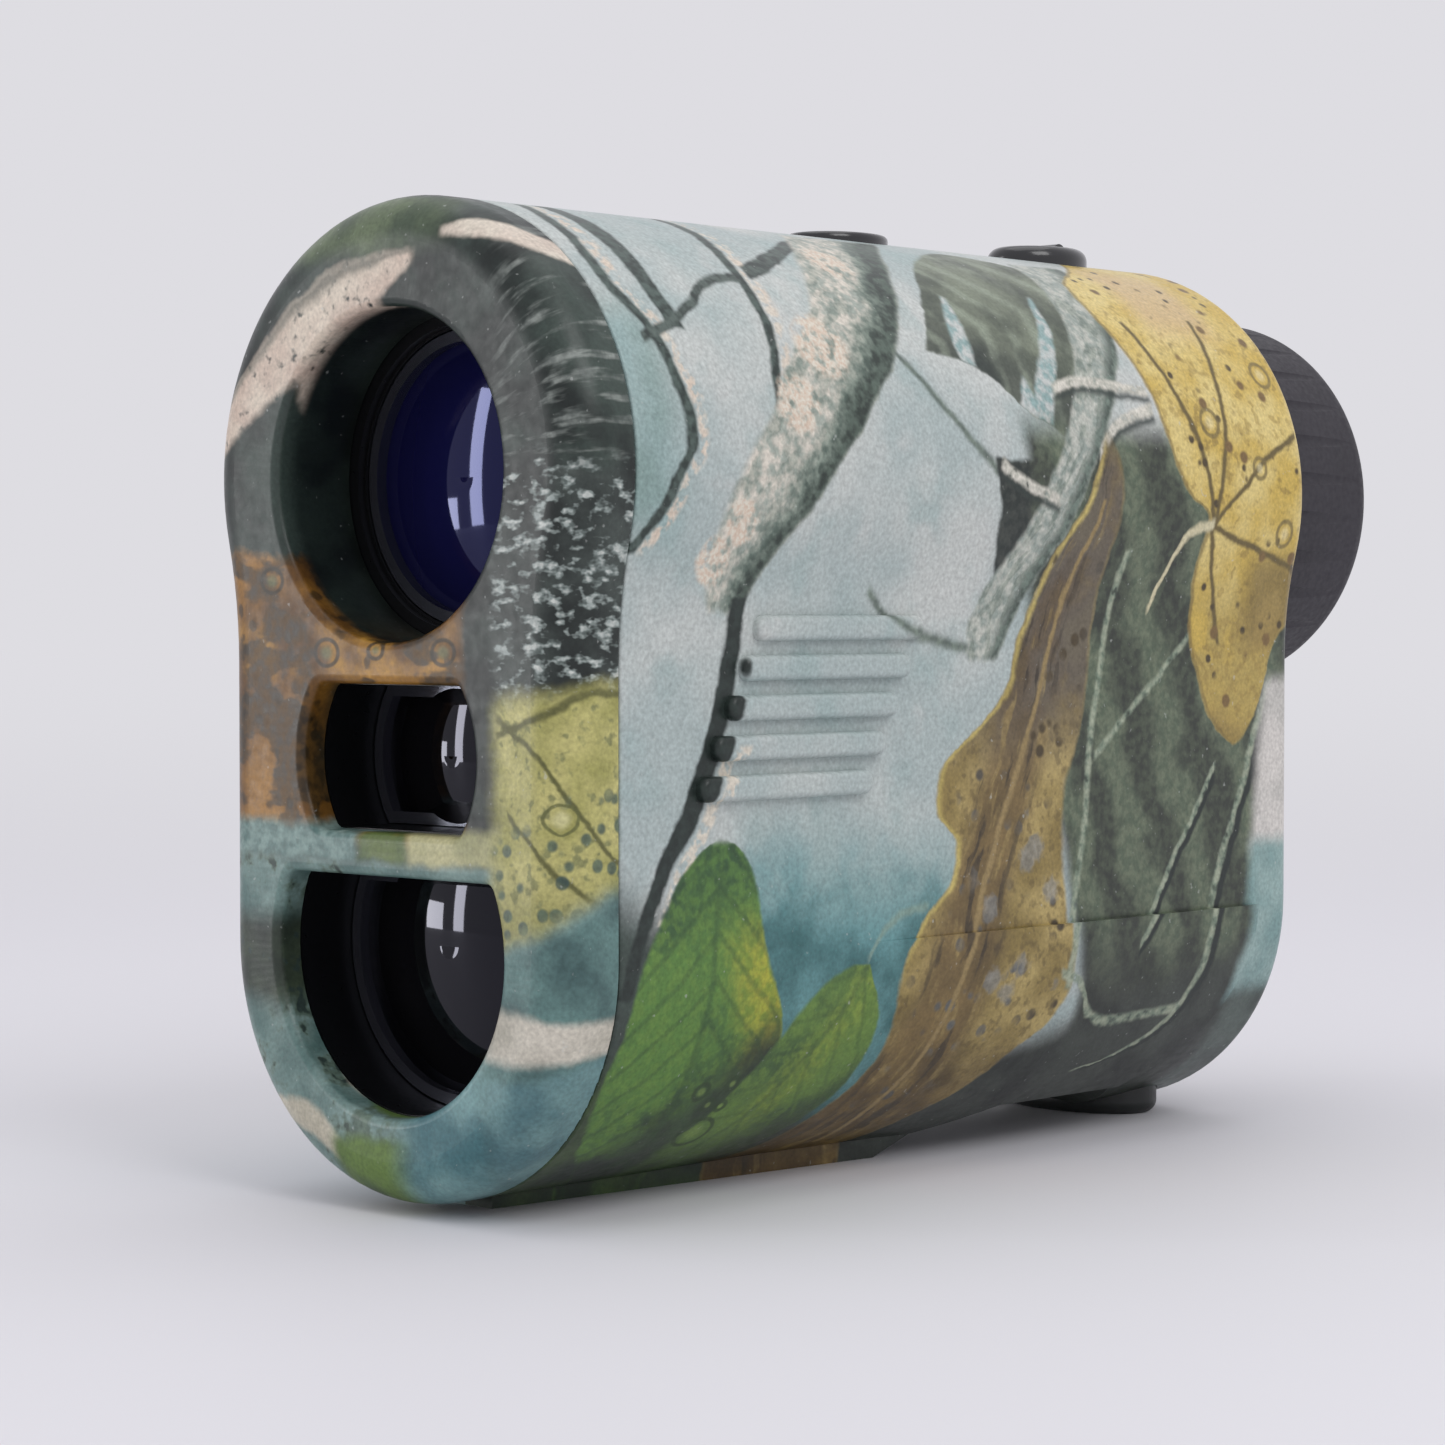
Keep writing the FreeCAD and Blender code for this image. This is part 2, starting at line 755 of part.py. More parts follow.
def make_emitter_retaining_ring():
    return window_ring(emitter_window, emitter_lens_start).cut(make_emitter_lens())


def window_ring(window, lens_start):
    """A thin ring that follows a window's shape and seats on the front of its lens."""
    start = lens_start - retaining_ring_thickness
    inset = -cell_recess_gap - fit_gap
    ring = window(start, lens_start, inset)
    return ring.cut(window(start - 1, lens_start + 1, inset - retaining_ring_width))


def make_receiver_cell():
    block = receiver_window(cell_start, cell_end, cell_wall)
    room = emitter_axis_height - emitter_half_height - cell_wall - fit_gap
    block = block.cut(box(-far, far, 0, far, room, far))
    recess = receiver_window(0, receiver_lens_start + 3.4, -cell_recess_gap)
    light = rod_y(receiver_cone_front_radius - 2 * receiver_cone_wall, 0, cell_end + 1,
                  lower_axis_height)
    slab = box(-far, far, 0, far, -far, receiver_top_height - cell_recess_gap)
    return without(block, [recess, light.common(slab)])


def make_receiver_lens():
    high = receiver_flat_above_axis - cell_recess_gap - fit_gap
    radius = receiver_bore_radius - cell_recess_gap - fit_gap
    return flat_lens(radius, far, high, receiver_lens_start,
                     receiver_lens_start + 3.3, 2.2, lower_axis_height)


def make_receiver_retaining_ring():
    return window_ring(receiver_window, receiver_lens_start).cut(make_receiver_lens())


# ---------------------------------------------------------------- laser and receiver electronics
def make_laser_barrel():
    return tube_y(laser_barrel_radius, laser_barrel_radius - laser_barrel_wall,
                  frame_plate_end + seat_gap, laser_barrel_end, emitter_axis_height)


def make_laser_diode():
    base = rod_y(diode_radius, laser_barrel_end - 1.2, laser_barrel_end, emitter_axis_height)
    can = rod_y(diode_radius * 0.7, laser_barrel_end - 3.4, laser_barrel_end - 1.2,
                emitter_axis_height)
    return base.fuse(can).removeSplitter()


def make_laser_board():
    half = laser_barrel_radius - 0.5
    start = laser_barrel_end + seat_gap
    return box(-half, half, start, start + board_thickness,
               emitter_axis_height - half, emitter_axis_height + half)


def make_receiver_cone():
    start = frame_plate_end + seat_gap
    height = receiver_cone_end - start
    axis_point = vec(0, start, lower_axis_height)
    outer = Part.makeCone(receiver_cone_front_radius, receiver_cone_rear_radius, height,
                          axis_point, along_y)
    inner = Part.makeCone(receiver_cone_front_radius - receiver_cone_wall,
                          receiver_cone_rear_radius - receiver_cone_wall, height,
                          axis_point, along_y)
    return outer.cut(inner)


def make_photodiode():
    return rod_y(photodiode_radius, receiver_cone_end - 2.0, receiver_cone_end + seat_gap,
                 lower_axis_height)


def make_photodiode_board():
    start = receiver_cone_end + 2 * seat_gap
    return rod_y(photodiode_board_radius, start, start + board_thickness, lower_axis_height)


# ---------------------------------------------------------------- prisms and display
def prism_corners():
    """The slanted air gap between the two prisms, as its top and bottom Y."""
    middle = (prism_start + prism_end) / 2
    lean = prism_half_height * math.tan(math.radians(22.5))
    return middle - lean, middle + lean


def make_front_prism():
    top, bottom = prism_corners()
    low = lobe_axis_height - prism_half_height
    high = lobe_axis_height + prism_half_height
    half_gap = prism_air_gap / 2
    return side_solid([
        (prism_start, low),
        (prism_start, high),
        (top - half_gap, high),
        (bottom - half_gap, low),
    ], prism_half_width)


def make_roof_prism():
    top, bottom = prism_corners()
    low = lobe_axis_height - prism_half_height
    high = lobe_axis_height + prism_half_height
    half_gap = prism_air_gap / 2
    block = side_solid([
        (top + half_gap, high),
        (prism_end, high),
        (prism_end, low),
        (bottom + half_gap, low),
    ], prism_half_width)
    roof_cut = box(-far, far, prism_start - 1, prism_end + 1, 0, far)
    for side in (-1, 1):
        wedge = roof_cut.copy()
        wedge.rotate(vec(0, 0, 0), along_y, side * 25)
        wedge.translate(vec(0, 0, high - 0.2))
        block = block.cut(wedge)
    return block


def make_prism_holder():
    start = prism_start - holder_wall
    end = prism_end + holder_wall
    outer = prism_half_width + fit_gap + holder_wall
    inner = prism_half_width + fit_gap
    floor = shelf_top + fit_gap
    low = lobe_axis_height - prism_half_height - fit_gap
    high = lobe_axis_height + prism_half_height
    block = box(-outer, outer, start, end, floor, high)
    seat = box(-inner, inner, prism_start - fit_gap, prism_end + fit_gap, low, high + 1)
    light = rod_y(prism_half_width - 1.0, start - 1, end + 1, lobe_axis_height)
    return without(block, [seat, light])


def make_display_panel():
    return box(-display_half_width, display_half_width, display_start,
               display_start + display_thickness, lobe_axis_height - display_half_height,
               lobe_axis_height + display_half_height)


def make_display_frame():
    outer_w = display_half_width + display_frame_edge
    outer_h = display_half_height + display_frame_edge
    front = display_start - 0.8
    back = display_start + display_thickness + 0.8
    frame = box(-outer_w, outer_w, front, back, lobe_axis_height - outer_h,
                lobe_axis_height + outer_h)
    seat = box(-display_half_width - seat_gap, display_half_width + seat_gap,
               display_start - seat_gap, display_start + display_thickness + seat_gap,
               lobe_axis_height - display_half_height - seat_gap,
               lobe_axis_height + display_half_height + seat_gap)
    view = rod_y(display_half_width - 0.8, front - 1, back + 1, lobe_axis_height)
    return without(frame, [seat, view])


def make_display_flex():
    """The thin ribbon from the foot of the display to the main board."""
    strip = 0.25
    top = lobe_axis_height - display_half_height - display_frame_edge - seat_gap
    back = display_start + 0.5
    start = main_board_end - 2.0
    low = main_board_top - 3.0
    board_face = main_board_side + board_thickness
    down = box(-3, 3, back, back + strip, low, top)
    across = box(board_face + seat_gap, 3, back, back + strip, low, low + 4)
    forward = box(board_face + seat_gap, board_face + seat_gap + strip, start, back + strip, low, low + 4)
    return joined([down, across, forward])


# ---------------------------------------------------------------- eyepiece
def make_eyepiece_barrel():
    flange_start = inner_end - barrel_flange_thickness
    flange_radius = barrel_outer_radius + barrel_flange_width
    field_outer = barrel_field_radius + barrel_field_wall
    bore_start = carriage_start - 2 * focus_travel
    barrel = turned([
        (barrel_field_radius, barrel_start),
        (field_outer, barrel_start),
        (field_outer, flange_start),
        (flange_radius, flange_start),
        (flange_radius, inner_end - seat_gap),
        (barrel_outer_radius, inner_end - seat_gap),
        (barrel_outer_radius, barrel_end),
        (barrel_bore_radius, barrel_end),
        (barrel_bore_radius, bore_start),
        (barrel_field_radius, bore_start),
    ], lobe_axis_height)
    half = barrel_slot_width / 2
    travel = focus_travel + focus_pin_radius + loose_gap
    slot = box(-half, half, focus_pin_place - travel, focus_pin_place + travel,
               lobe_axis_height, lobe_axis_height + far)
    groove = ring_groove(barrel_outer_radius, body_length - end_wall / 2, lobe_axis_height)
    return without(barrel, [slot, groove])


def ring_groove(radius, y, axis_height):
    """A square groove for an O-ring, cut into a shaft of the given radius."""
    half = o_ring_wire + 0.1
    return tube_y(radius + 1, radius - 2 * o_ring_wire + 0.05, y - half, y + half, axis_height)


def o_ring(radius, y, axis_height):
    """An O-ring that fills the groove of a shaft of the given radius."""
    mid = radius - o_ring_wire + 0.06
    return Part.makeTorus(mid, o_ring_wire, vec(0, y, axis_height), along_y)


def make_barrel_o_ring():
    return o_ring(barrel_outer_radius, body_length - end_wall / 2, lobe_axis_height)


def make_field_lens():
    start = barrel_start + 1.5
    return lens(barrel_field_radius - 0.03, start, start + 2.4, 1.0, 1.0, lobe_axis_height)


def make_eyepiece_carriage():
    inner = carriage_outer_radius - carriage_wall
    tube = turned([
        (inner, carriage_start + 2.0),
        (inner - 1.2, carriage_start + 2.0),
        (inner - 1.2, carriage_start),
        (carriage_outer_radius, carriage_start),
        (carriage_outer_radius, carriage_end),
        (inner, carriage_end),
    ], lobe_axis_height)
    hole = rod_z(focus_pin_radius, lobe_axis_height + inner - 1,
                 lobe_axis_height + carriage_outer_radius + 1, 0, focus_pin_place)
    return tube.cut(hole)


def eyepiece_glass_radius():
    return carriage_outer_radius - carriage_wall - 0.03


def make_eyepiece_inner_lens():
    start = carriage_start + 2.3
    return lens(eyepiece_glass_radius(), start, start + 3.4, 1.2, 1.0, lobe_axis_height)


def make_eyepiece_outer_lens():
    end = carriage_end - retaining_ring_thickness - 0.1
    return lens(eyepiece_glass_radius(), end - eyepiece_lens_edge, end, 0.0, -0.9, lobe_axis_height)


def make_eyepiece_retaining_ring():
    return tube_y(eyepiece_glass_radius(), eyepiece_glass_radius() - retaining_ring_width,
                  carriage_end - retaining_ring_thickness, carriage_end, lobe_axis_height)


def make_focus_pin():
    inner = carriage_outer_radius - carriage_wall
    return rod_z(focus_pin_radius - 0.02, lobe_axis_height + inner,
                 lobe_axis_height + barrel_outer_radius + 0.7, 0, focus_pin_place)


def make_diopter_core():
    relief = focus_travel + focus_pin_radius + loose_gap
    start = diopter_start + fit_gap
    end = eyecup_start - fit_gap
    return turned([
        (diopter_bore_radius, start),
        (diopter_core_radius, start),
        (diopter_core_radius, end),
        (diopter_bore_radius, end),
        (diopter_bore_radius, focus_pin_place + relief),
        (diopter_bore_radius + 1.0, focus_pin_place + relief),
        (diopter_bore_radius + 1.0, focus_pin_place - relief),
        (diopter_bore_radius, focus_pin_place - relief),
    ], lobe_axis_height)


def make_diopter_grip():
    """The rubber sleeve of the focus ring, with lengthwise grooves that run out rearwards."""
    sleeve = rod_y(diopter_grip_radius, diopter_start, overall_length, lobe_axis_height)
    rear = edges_at(sleeve, overall_length)
    front = edges_at(sleeve, diopter_start)
    sleeve = sleeve.makeFillet(diopter_rear_round, rear).makeFillet(0.4, front)
    sleeve = sleeve.cut(rod_y(diopter_core_radius + solder_gap, 0, eyecup_start, lobe_axis_height))
    sleeve = sleeve.cut(rod_y(eyecup_radius(), 0, 2 * far, lobe_axis_height))
    length = eyecup_start - diopter_start + 0.6
    rise = math.degrees(math.atan(diopter_groove_depth / length))
    for step in range(diopter_groove_count):
        at = diopter_grip_radius + diopter_groove_radius - diopter_groove_depth
        groove = Part.makeCylinder(diopter_groove_radius, length,
                                   vec(0, diopter_start - 1, lobe_axis_height + at), along_y)
        groove.rotate(vec(0, diopter_start - 1, lobe_axis_height + at), along_x, rise)
        groove.rotate(vec(0, 0, lobe_axis_height), along_y, step * 360.0 / diopter_groove_count)
        sleeve = sleeve.cut(groove)
    return sleeve


def eyecup_radius():
    return diopter_core_radius - 0.9


def make_eyecup():
    outer = eyecup_radius() - solder_gap
    inner = outer - eyecup_lip
    rim = overall_length - 0.6
    return turned([
        (inner + 0.8, eyecup_start + fit_gap),
        (outer, eyecup_start),
        (outer, rim),
        (outer - 0.5, rim - 0.1),
        (inner, rim - 1.0),
    ], lobe_axis_height)


# ---------------------------------------------------------------- buttons
def button_hole(half_width, half_length, place):
    return ellipse_post(half_width + button_gap, half_length + button_gap, place,
                        top_height - wall - 2.0, top_height + 2)


def button_board_bottom():
    return top_height - button_board_drop - board_thickness


def button_base():
    return top_height - button_flange_drop


def make_button(half_width, half_length, place, proud, dome):
    """A push button: an elliptical cap with a retaining flange under the housing's top."""
    base = button_base()
    cap = ellipse_post(half_width, half_length, place, base, top_height + proud)
    top_rim = [e for e in cap.Edges if all(v.Z > top_height for v in e.Vertexes)]
    cap = cap.makeFillet(dome, top_rim)
    flange = ellipse_post(half_width + button_flange, half_length + button_flange, place,
                          base, base + button_flange_thickness)
    return cap.fuse(flange).removeSplitter()


def make_measure_button():
    return make_button(measure_button_half_width, measure_button_half_length,
                       measure_button_place, measure_button_proud, measure_button_dome)


def make_mode_button():
    button = make_button(mode_button_half_width, mode_button_half_length,
                         mode_button_place, mode_button_proud, mode_button_dome)
    top = top_height + mode_button_proud
    half = mode_ridge_width / 2
    curve = (half ** 2 + mode_ridge_height ** 2) / (2 * mode_ridge_height)
    reach = mode_button_half_width * 0.62
    ridge = rod_x(curve, -reach, reach, mode_button_place, top + mode_ridge_height - curve)
    ridge = ridge.common(box(-far, far, 0, 2 * far, top - 1, top + 1))
    return button.fuse(ridge).removeSplitter()


def button_zone():
    """The front and rear ends of the board that serves both buttons."""
    return measure_button_place - button_board_margin, mode_button_place + button_board_margin


def board_ledges():
    """Two ledges inside the shells that carry the button board."""
    start, end = button_zone()
    low = button_board_bottom() - 1.2
    high = button_board_bottom()
    inner = button_board_half_width - 3.6
    right = box(inner, far, start, end, low, high)
    left = box(-far, -inner, start, end, low, high)
    screw_blocks = []
    for x, y in button_board_screw_places():
        block = box(x - 1.6, x + 1.6, y - 1.6, y + 1.6, high - board_screw_grip() - 0.5, high)
        screw_blocks.append(block)
    return joined([right] + screw_blocks[:2]).fuse(joined([left] + screw_blocks[2:]))


def board_screw_grip():
    """How far a board screw reaches into the part behind its board."""
    return small_screw_length - board_thickness


def button_board_screw_places():
    start, end = button_zone()
    across = button_board_half_width - 1.6
    return [(side * across, y) for side in (1, -1) for y in (start + 1.8, end - 1.8)]


def make_button_board():
    start, end = button_zone()
    bottom = button_board_bottom() + solder_gap
    board = box(-button_board_half_width, button_board_half_width, start, end,
                bottom, bottom + board_thickness - solder_gap)
    holes = [rod_z(small_screw_radius + 0.1, 0, 2 * far, x, y) for x, y in button_board_screw_places()]
    return without(board, holes)


def make_button_board_screws():
    screws = []
    top = button_board_bottom() + board_thickness + solder_gap
    for x, y in button_board_screw_places():
        head = rod_z(small_screw_head_radius, top, top + small_screw_head_height, x, y)
        shank = rod_z(small_screw_radius - 0.03, top - small_screw_length, top, x, y)
        recess = cross_recess(small_screw_head_radius, 0.4,
                              vec(x, y, top + small_screw_head_height), "z")
        screws.append(without(head.fuse(shank), recess).removeSplitter())
    return Part.makeCompound(screws)


def make_button_seal():
    """The rubber sheet that seals both buttons and pushes them back up."""
    start, end = button_zone()
    low = button_board_bottom() + board_thickness + solder_gap
    high = top_height - button_seal_top_drop
    width = button_seal_half_width
    outer = box(-width, width, start + 0.5, end - 0.5, low, high)
    inner = box(-width + button_seal_wall, width - button_seal_wall,
                start + 0.5 + button_seal_wall, end - 0.5 - button_seal_wall,
                low - 1, high - button_seal_thickness)
    return outer.cut(inner)


def make_tact_switches():
    switches = []
    low = button_board_bottom() + board_thickness + solder_gap
    half = switch_size / 2
    for place in (measure_button_place, mode_button_place):
        case = box(-half, half, place - half, place + half, low, low + switch_height)
        plunger = rod_z(1.0, low + switch_height, low + switch_height + 0.3, 0, place)
        switches.append(case.fuse(plunger).removeSplitter())
    return Part.makeCompound(switches)


# ---------------------------------------------------------------- main board
def make_main_board():
    face = main_board_side + solder_gap
    board = box(face, face + board_thickness - solder_gap, main_board_start, main_board_end,
                main_board_bottom, main_board_top)
    cuts = [rod_x(small_screw_radius + 0.1, -far, far, y, z) for y, z in main_board_screw_places]
    for y, z in housing_screw_places:
        cuts.append(rod_x(boss_radius + loose_gap, -far, far, y, z))
    return without(board, cuts)


def make_board_components():
    """Chips, a crystal, a transformer and a connector on the inner face of the main board."""
    face = main_board_side + board_thickness + solder_gap
    blocks = [
        (29.5, 37.5, 20.5, 28.5, 1.2),
        (40.0, 45.0, 20.0, 25.0, 1.0),
        (31.0, 34.5, 31.0, 36.5, 2.2),
        (37.0, 43.0, 31.0, 34.0, 1.4),
        (56.0, 60.0, 33.6, 37.6, 1.6),
        (44.5, 47.0, 15.5, 18.5, 1.8),
    ]
    return Part.makeCompound([box(face, face + h, y0, y1, z0, z1) for y0, y1, z0, z1, h in blocks])


def make_main_board_screws():
    screws = []
    face = main_board_side + board_thickness + solder_gap
    for y, z in main_board_screw_places:
        head = rod_x(small_screw_head_radius, face, face + small_screw_head_height, y, z)
        shank = rod_x(small_screw_radius - 0.03, face - small_screw_length, face, y, z)
        recess = cross_recess(small_screw_head_radius, 0.4,
                              vec(face + small_screw_head_height, y, z), "x")
        screws.append(without(head.fuse(shank), recess).removeSplitter())
    return Part.makeCompound(screws)


# ---------------------------------------------------------------- battery
def battery_tube_radius():
    return battery_radius + battery_tube_gap


def make_battery_tube():
    inner = battery_tube_radius()
    outer = inner + battery_tube_wall
    mouth = battery_neck_radius + battery_neck_gap
    groove = mouth + battery_lug_reach + 0.1
    flange = groove + 1.2
    groove_start = battery_lug_start - 0.2
    groove_end = battery_lug_start + battery_lug_thickness + 0.2
    return turned([
        (0.0, battery_tube_start),
        (outer, battery_tube_start),
        (outer, battery_mouth_start - battery_tube_wall),
        (flange, battery_mouth_start - battery_tube_wall),
        (flange, inner_end - seat_gap),
        (mouth, inner_end - seat_gap),
        (mouth, groove_end),
        (groove, groove_end),
        (groove, groove_start),
        (mouth, groove_start),
        (mouth, battery_mouth_start),
        (inner, battery_mouth_start),
        (inner, battery_tube_start + battery_tube_wall),
        (0.0, battery_tube_start + battery_tube_wall),
    ], lower_axis_height)


def make_battery_cell():
    can = rod_y(battery_radius, battery_start, battery_end, lower_axis_height)
    can = can.makeFillet(0.5, edges_at(can, battery_start) + edges_at(can, battery_end))
    nub = rod_y(battery_nub_radius, battery_end - 0.5, battery_end + battery_nub_height,
                lower_axis_height)
    return can.fuse(nub).removeSplitter()


def make_battery_spring():
    """The coil at the closed end of the tube that presses on the cell."""
    margin = battery_spring_wire + solder_gap
    base = battery_tube_start + battery_tube_wall + margin
    height = battery_start - margin - base
    pitch = height / battery_spring_turns
    helix = Part.makeHelix(pitch, height, battery_spring_radius)
    start = vec(battery_spring_radius, 0, 0)
    section = Part.Wire(Part.makeCircle(battery_spring_wire, start, vec(0, 1, 0)))
    coil = Part.Wire(helix).makePipeShell([section], True, True)
    coil.rotate(vec(0, 0, 0), along_x, -90)
    coil.translate(vec(0, base, lower_axis_height))
    return coil


def cap_inner_end():
    return battery_mouth_start + 0.4


def make_battery_cap():
    neck_start = cap_inner_end()
    head_end = body_length + battery_cap_proud
    head = rod_y(battery_cap_radius, inner_end, head_end, lower_axis_height)
    head = head.makeFillet(0.4, edges_at(head, head_end))
    for step in range(battery_cap_knurl_count):
        notch = rod_y(battery_cap_knurl_radius, body_length - 0.2, head_end + 1,
                      lower_axis_height + battery_cap_radius + 0.1)
        notch.rotate(vec(0, 0, lower_axis_height), along_y, step * 360.0 / battery_cap_knurl_count)
        head = head.cut(notch)
    neck = rod_y(battery_neck_radius, neck_start, inner_end, lower_axis_height)
    half_length = battery_cap_slot_length / 2
    half_width = battery_cap_slot_width / 2
    coin_slot = box(-half_length, half_length, head_end - battery_cap_slot_depth, head_end + 1,
                    lower_axis_height - half_width, lower_axis_height + half_width)
    cap = joined([head, neck] + make_cap_lugs())
    seat = rod_y(battery_nub_radius + 2.4, neck_start - 1, neck_start + 0.8, lower_axis_height)
    return without(cap, [coin_slot, seat, cap_ring_groove()])


def cap_ring_place():
    return battery_lug_start + battery_lug_thickness + 0.9


def cap_ring_groove():
    return ring_groove(battery_neck_radius, cap_ring_place(), lower_axis_height)


def make_cap_lugs():
    """Two lugs on the cap's neck that catch behind the lip of the battery tube."""
    outer = battery_neck_radius + battery_lug_reach
    lugs = []
    for turn in (0, 180):
        lug = Part.makeCylinder(outer, battery_lug_thickness, vec(0, 0, 0), along_z,
                                battery_lug_angle)
        lug.rotate(vec(0, 0, 0), along_z, turn - battery_lug_angle / 2)
        lug.rotate(vec(0, 0, 0), along_x, -90)
        lug.translate(vec(0, battery_lug_start, lower_axis_height))
        lugs.append(lug)
    return lugs


def make_battery_cap_o_ring():
    return o_ring(battery_neck_radius, cap_ring_place(), lower_axis_height)


def make_battery_cap_contact():
    start = battery_end + battery_nub_height + fit_gap
    end = cap_inner_end() + 0.75
    return turned([
        (0.0, start),
        (1.6, start),
        (3.0, start + 1.2),
        (battery_nub_radius + 2.2, end - 0.35),
        (battery_nub_radius + 2.2, end),
        (0.0, end),
    ], lower_axis_height)


# ---------------------------------------------------------------- write the parts
def write_part(name, shape):
    placed = shape.copy()
    placed.translate(vec(0, -overall_length / 2, 0))
    placed.exportStep(os.path.join("parts", name + ".step"))


def main():
    os.makedirs("parts", exist_ok=True)
    right_shell, left_shell = make_shells()
    parts = {
        "front_bezel": make_front_bezel(),
        "bezel_gasket": make_bezel_gasket(),
        "right_shell": right_shell,
        "left_shell": left_shell,
        "rear_foot": make_rear_foot(),
        "housing_screws": make_housing_screws(),
        "optical_frame": make_optical_frame(),
        "objective_cell": make_objective_cell(),
        "objective_front_lens": make_objective_front_lens(),
        "objective_rear_lens": make_objective_rear_lens(),
        "objective_retaining_ring": make_objective_retaining_ring(),
        "emitter_cell": make_emitter_cell(),
        "emitter_lens": make_emitter_lens(),
        "emitter_retaining_ring": make_emitter_retaining_ring(),
        "laser_barrel": make_laser_barrel(),
        "laser_diode": make_laser_diode(),
        "laser_board": make_laser_board(),
        "receiver_cell": make_receiver_cell(),
        "receiver_lens": make_receiver_lens(),
        "receiver_retaining_ring": make_receiver_retaining_ring(),
        "receiver_cone": make_receiver_cone(),
        "photodiode": make_photodiode(),
        "photodiode_board": make_photodiode_board(),
        "prism_holder": make_prism_holder(),
        "front_prism": make_front_prism(),
        "roof_prism": make_roof_prism(),
        "display_panel": make_display_panel(),
        "display_frame": make_display_frame(),
        "display_flex": make_display_flex(),
        "eyepiece_barrel": make_eyepiece_barrel(),
        "barrel_o_ring": make_barrel_o_ring(),
        "field_lens": make_field_lens(),
        "eyepiece_carriage": make_eyepiece_carriage(),
        "eyepiece_inner_lens": make_eyepiece_inner_lens(),
        "eyepiece_outer_lens": make_eyepiece_outer_lens(),
        "eyepiece_retaining_ring": make_eyepiece_retaining_ring(),
        "focus_pin": make_focus_pin(),
        "diopter_core": make_diopter_core(),
        "diopter_grip": make_diopter_grip(),
        "eyecup": make_eyecup(),
        "measure_button": make_measure_button(),
        "mode_button": make_mode_button(),
        "button_seal": make_button_seal(),
        "button_board": make_button_board(),
        "button_board_screws": make_button_board_screws(),
        "tact_switches": make_tact_switches(),
        "main_board": make_main_board(),
        "board_components": make_board_components(),
        "main_board_screws": make_main_board_screws(),
        "battery_tube": make_battery_tube(),
        "battery_cell": make_battery_cell(),
        "battery_spring": make_battery_spring(),
        "battery_cap": make_battery_cap(),
        "battery_cap_o_ring": make_battery_cap_o_ring(),
        "battery_cap_contact": make_battery_cap_contact(),
    }
    for name, shape in parts.items():
        write_part(name, shape)
        print(f"{name:26s} solids {len(shape.Solids):2d} valid {shape.isValid()} "
              f"volume {shape.Volume:9.1f}")


main()
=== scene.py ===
import json
import math
import bpy
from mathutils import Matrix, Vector


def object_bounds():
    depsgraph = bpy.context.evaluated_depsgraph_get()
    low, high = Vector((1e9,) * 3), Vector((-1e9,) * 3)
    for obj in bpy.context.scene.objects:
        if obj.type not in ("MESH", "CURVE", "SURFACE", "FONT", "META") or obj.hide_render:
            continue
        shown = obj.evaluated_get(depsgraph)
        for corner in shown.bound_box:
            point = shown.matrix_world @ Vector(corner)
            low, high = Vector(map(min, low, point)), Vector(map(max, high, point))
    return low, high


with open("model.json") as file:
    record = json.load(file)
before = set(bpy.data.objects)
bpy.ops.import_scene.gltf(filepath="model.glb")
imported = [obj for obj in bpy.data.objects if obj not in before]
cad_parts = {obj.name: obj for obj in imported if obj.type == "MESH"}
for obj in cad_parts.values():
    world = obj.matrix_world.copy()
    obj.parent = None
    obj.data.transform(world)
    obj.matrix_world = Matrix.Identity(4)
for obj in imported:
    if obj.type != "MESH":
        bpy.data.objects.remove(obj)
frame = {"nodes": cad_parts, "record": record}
cad_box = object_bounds()

# ---------------------------------------------------------------- sizes, in millimetres
MM = 0.001
FRONT = cad_box[0][1] / MM          # row y of the front face
LOWER_AXIS = 19.68                  # heights of the two centres that the section is drawn round
UPPER_AXIS = 54.97
LOWER_RADIUS = 18.98
UPPER_RADIUS = 20.73

# ---------------------------------------------------------------- view and light
CAMERA_PLACE = (0.2022, -0.2317, 0.0450)
CAMERA_TILT = math.radians(88.2298)
CAMERA_TURN = math.radians(43.2108)
CAMERA_LENS = 90.754
SENSOR = 36.0


def tone(red, green, blue):
    """A colour given as display values from 0 to 255, as linear light."""
    def linear(value):
        value = value / 255
        return value / 12.92 if value <= 0.04045 else ((value + 0.055) / 1.055) ** 2.4
    return (linear(red), linear(green), linear(blue), 1.0)


# ---------------------------------------------------------------- node tree helper
class Value:
    """A number or colour inside a node tree, with ordinary arithmetic."""

    def __init__(self, graph, socket):
        self.graph = graph
        self.socket = socket

    def __add__(self, other):
        return self.graph.math("ADD", self, other)

    def __radd__(self, other):
        return self.graph.math("ADD", other, self)

    def __sub__(self, other):
        return self.graph.math("SUBTRACT", self, other)

    def __rsub__(self, other):
        return self.graph.math("SUBTRACT", other, self)

    def __mul__(self, other):
        return self.graph.math("MULTIPLY", self, other)

    def __rmul__(self, other):
        return self.graph.math("MULTIPLY", other, self)

    def __truediv__(self, other):
        return self.graph.math("DIVIDE", self, other)

    def __rtruediv__(self, other):
        return self.graph.math("DIVIDE", other, self)

    def __neg__(self):
        return self.graph.math("MULTIPLY", self, -1.0)

    def __abs__(self):
        return self.graph.math("ABSOLUTE", self)


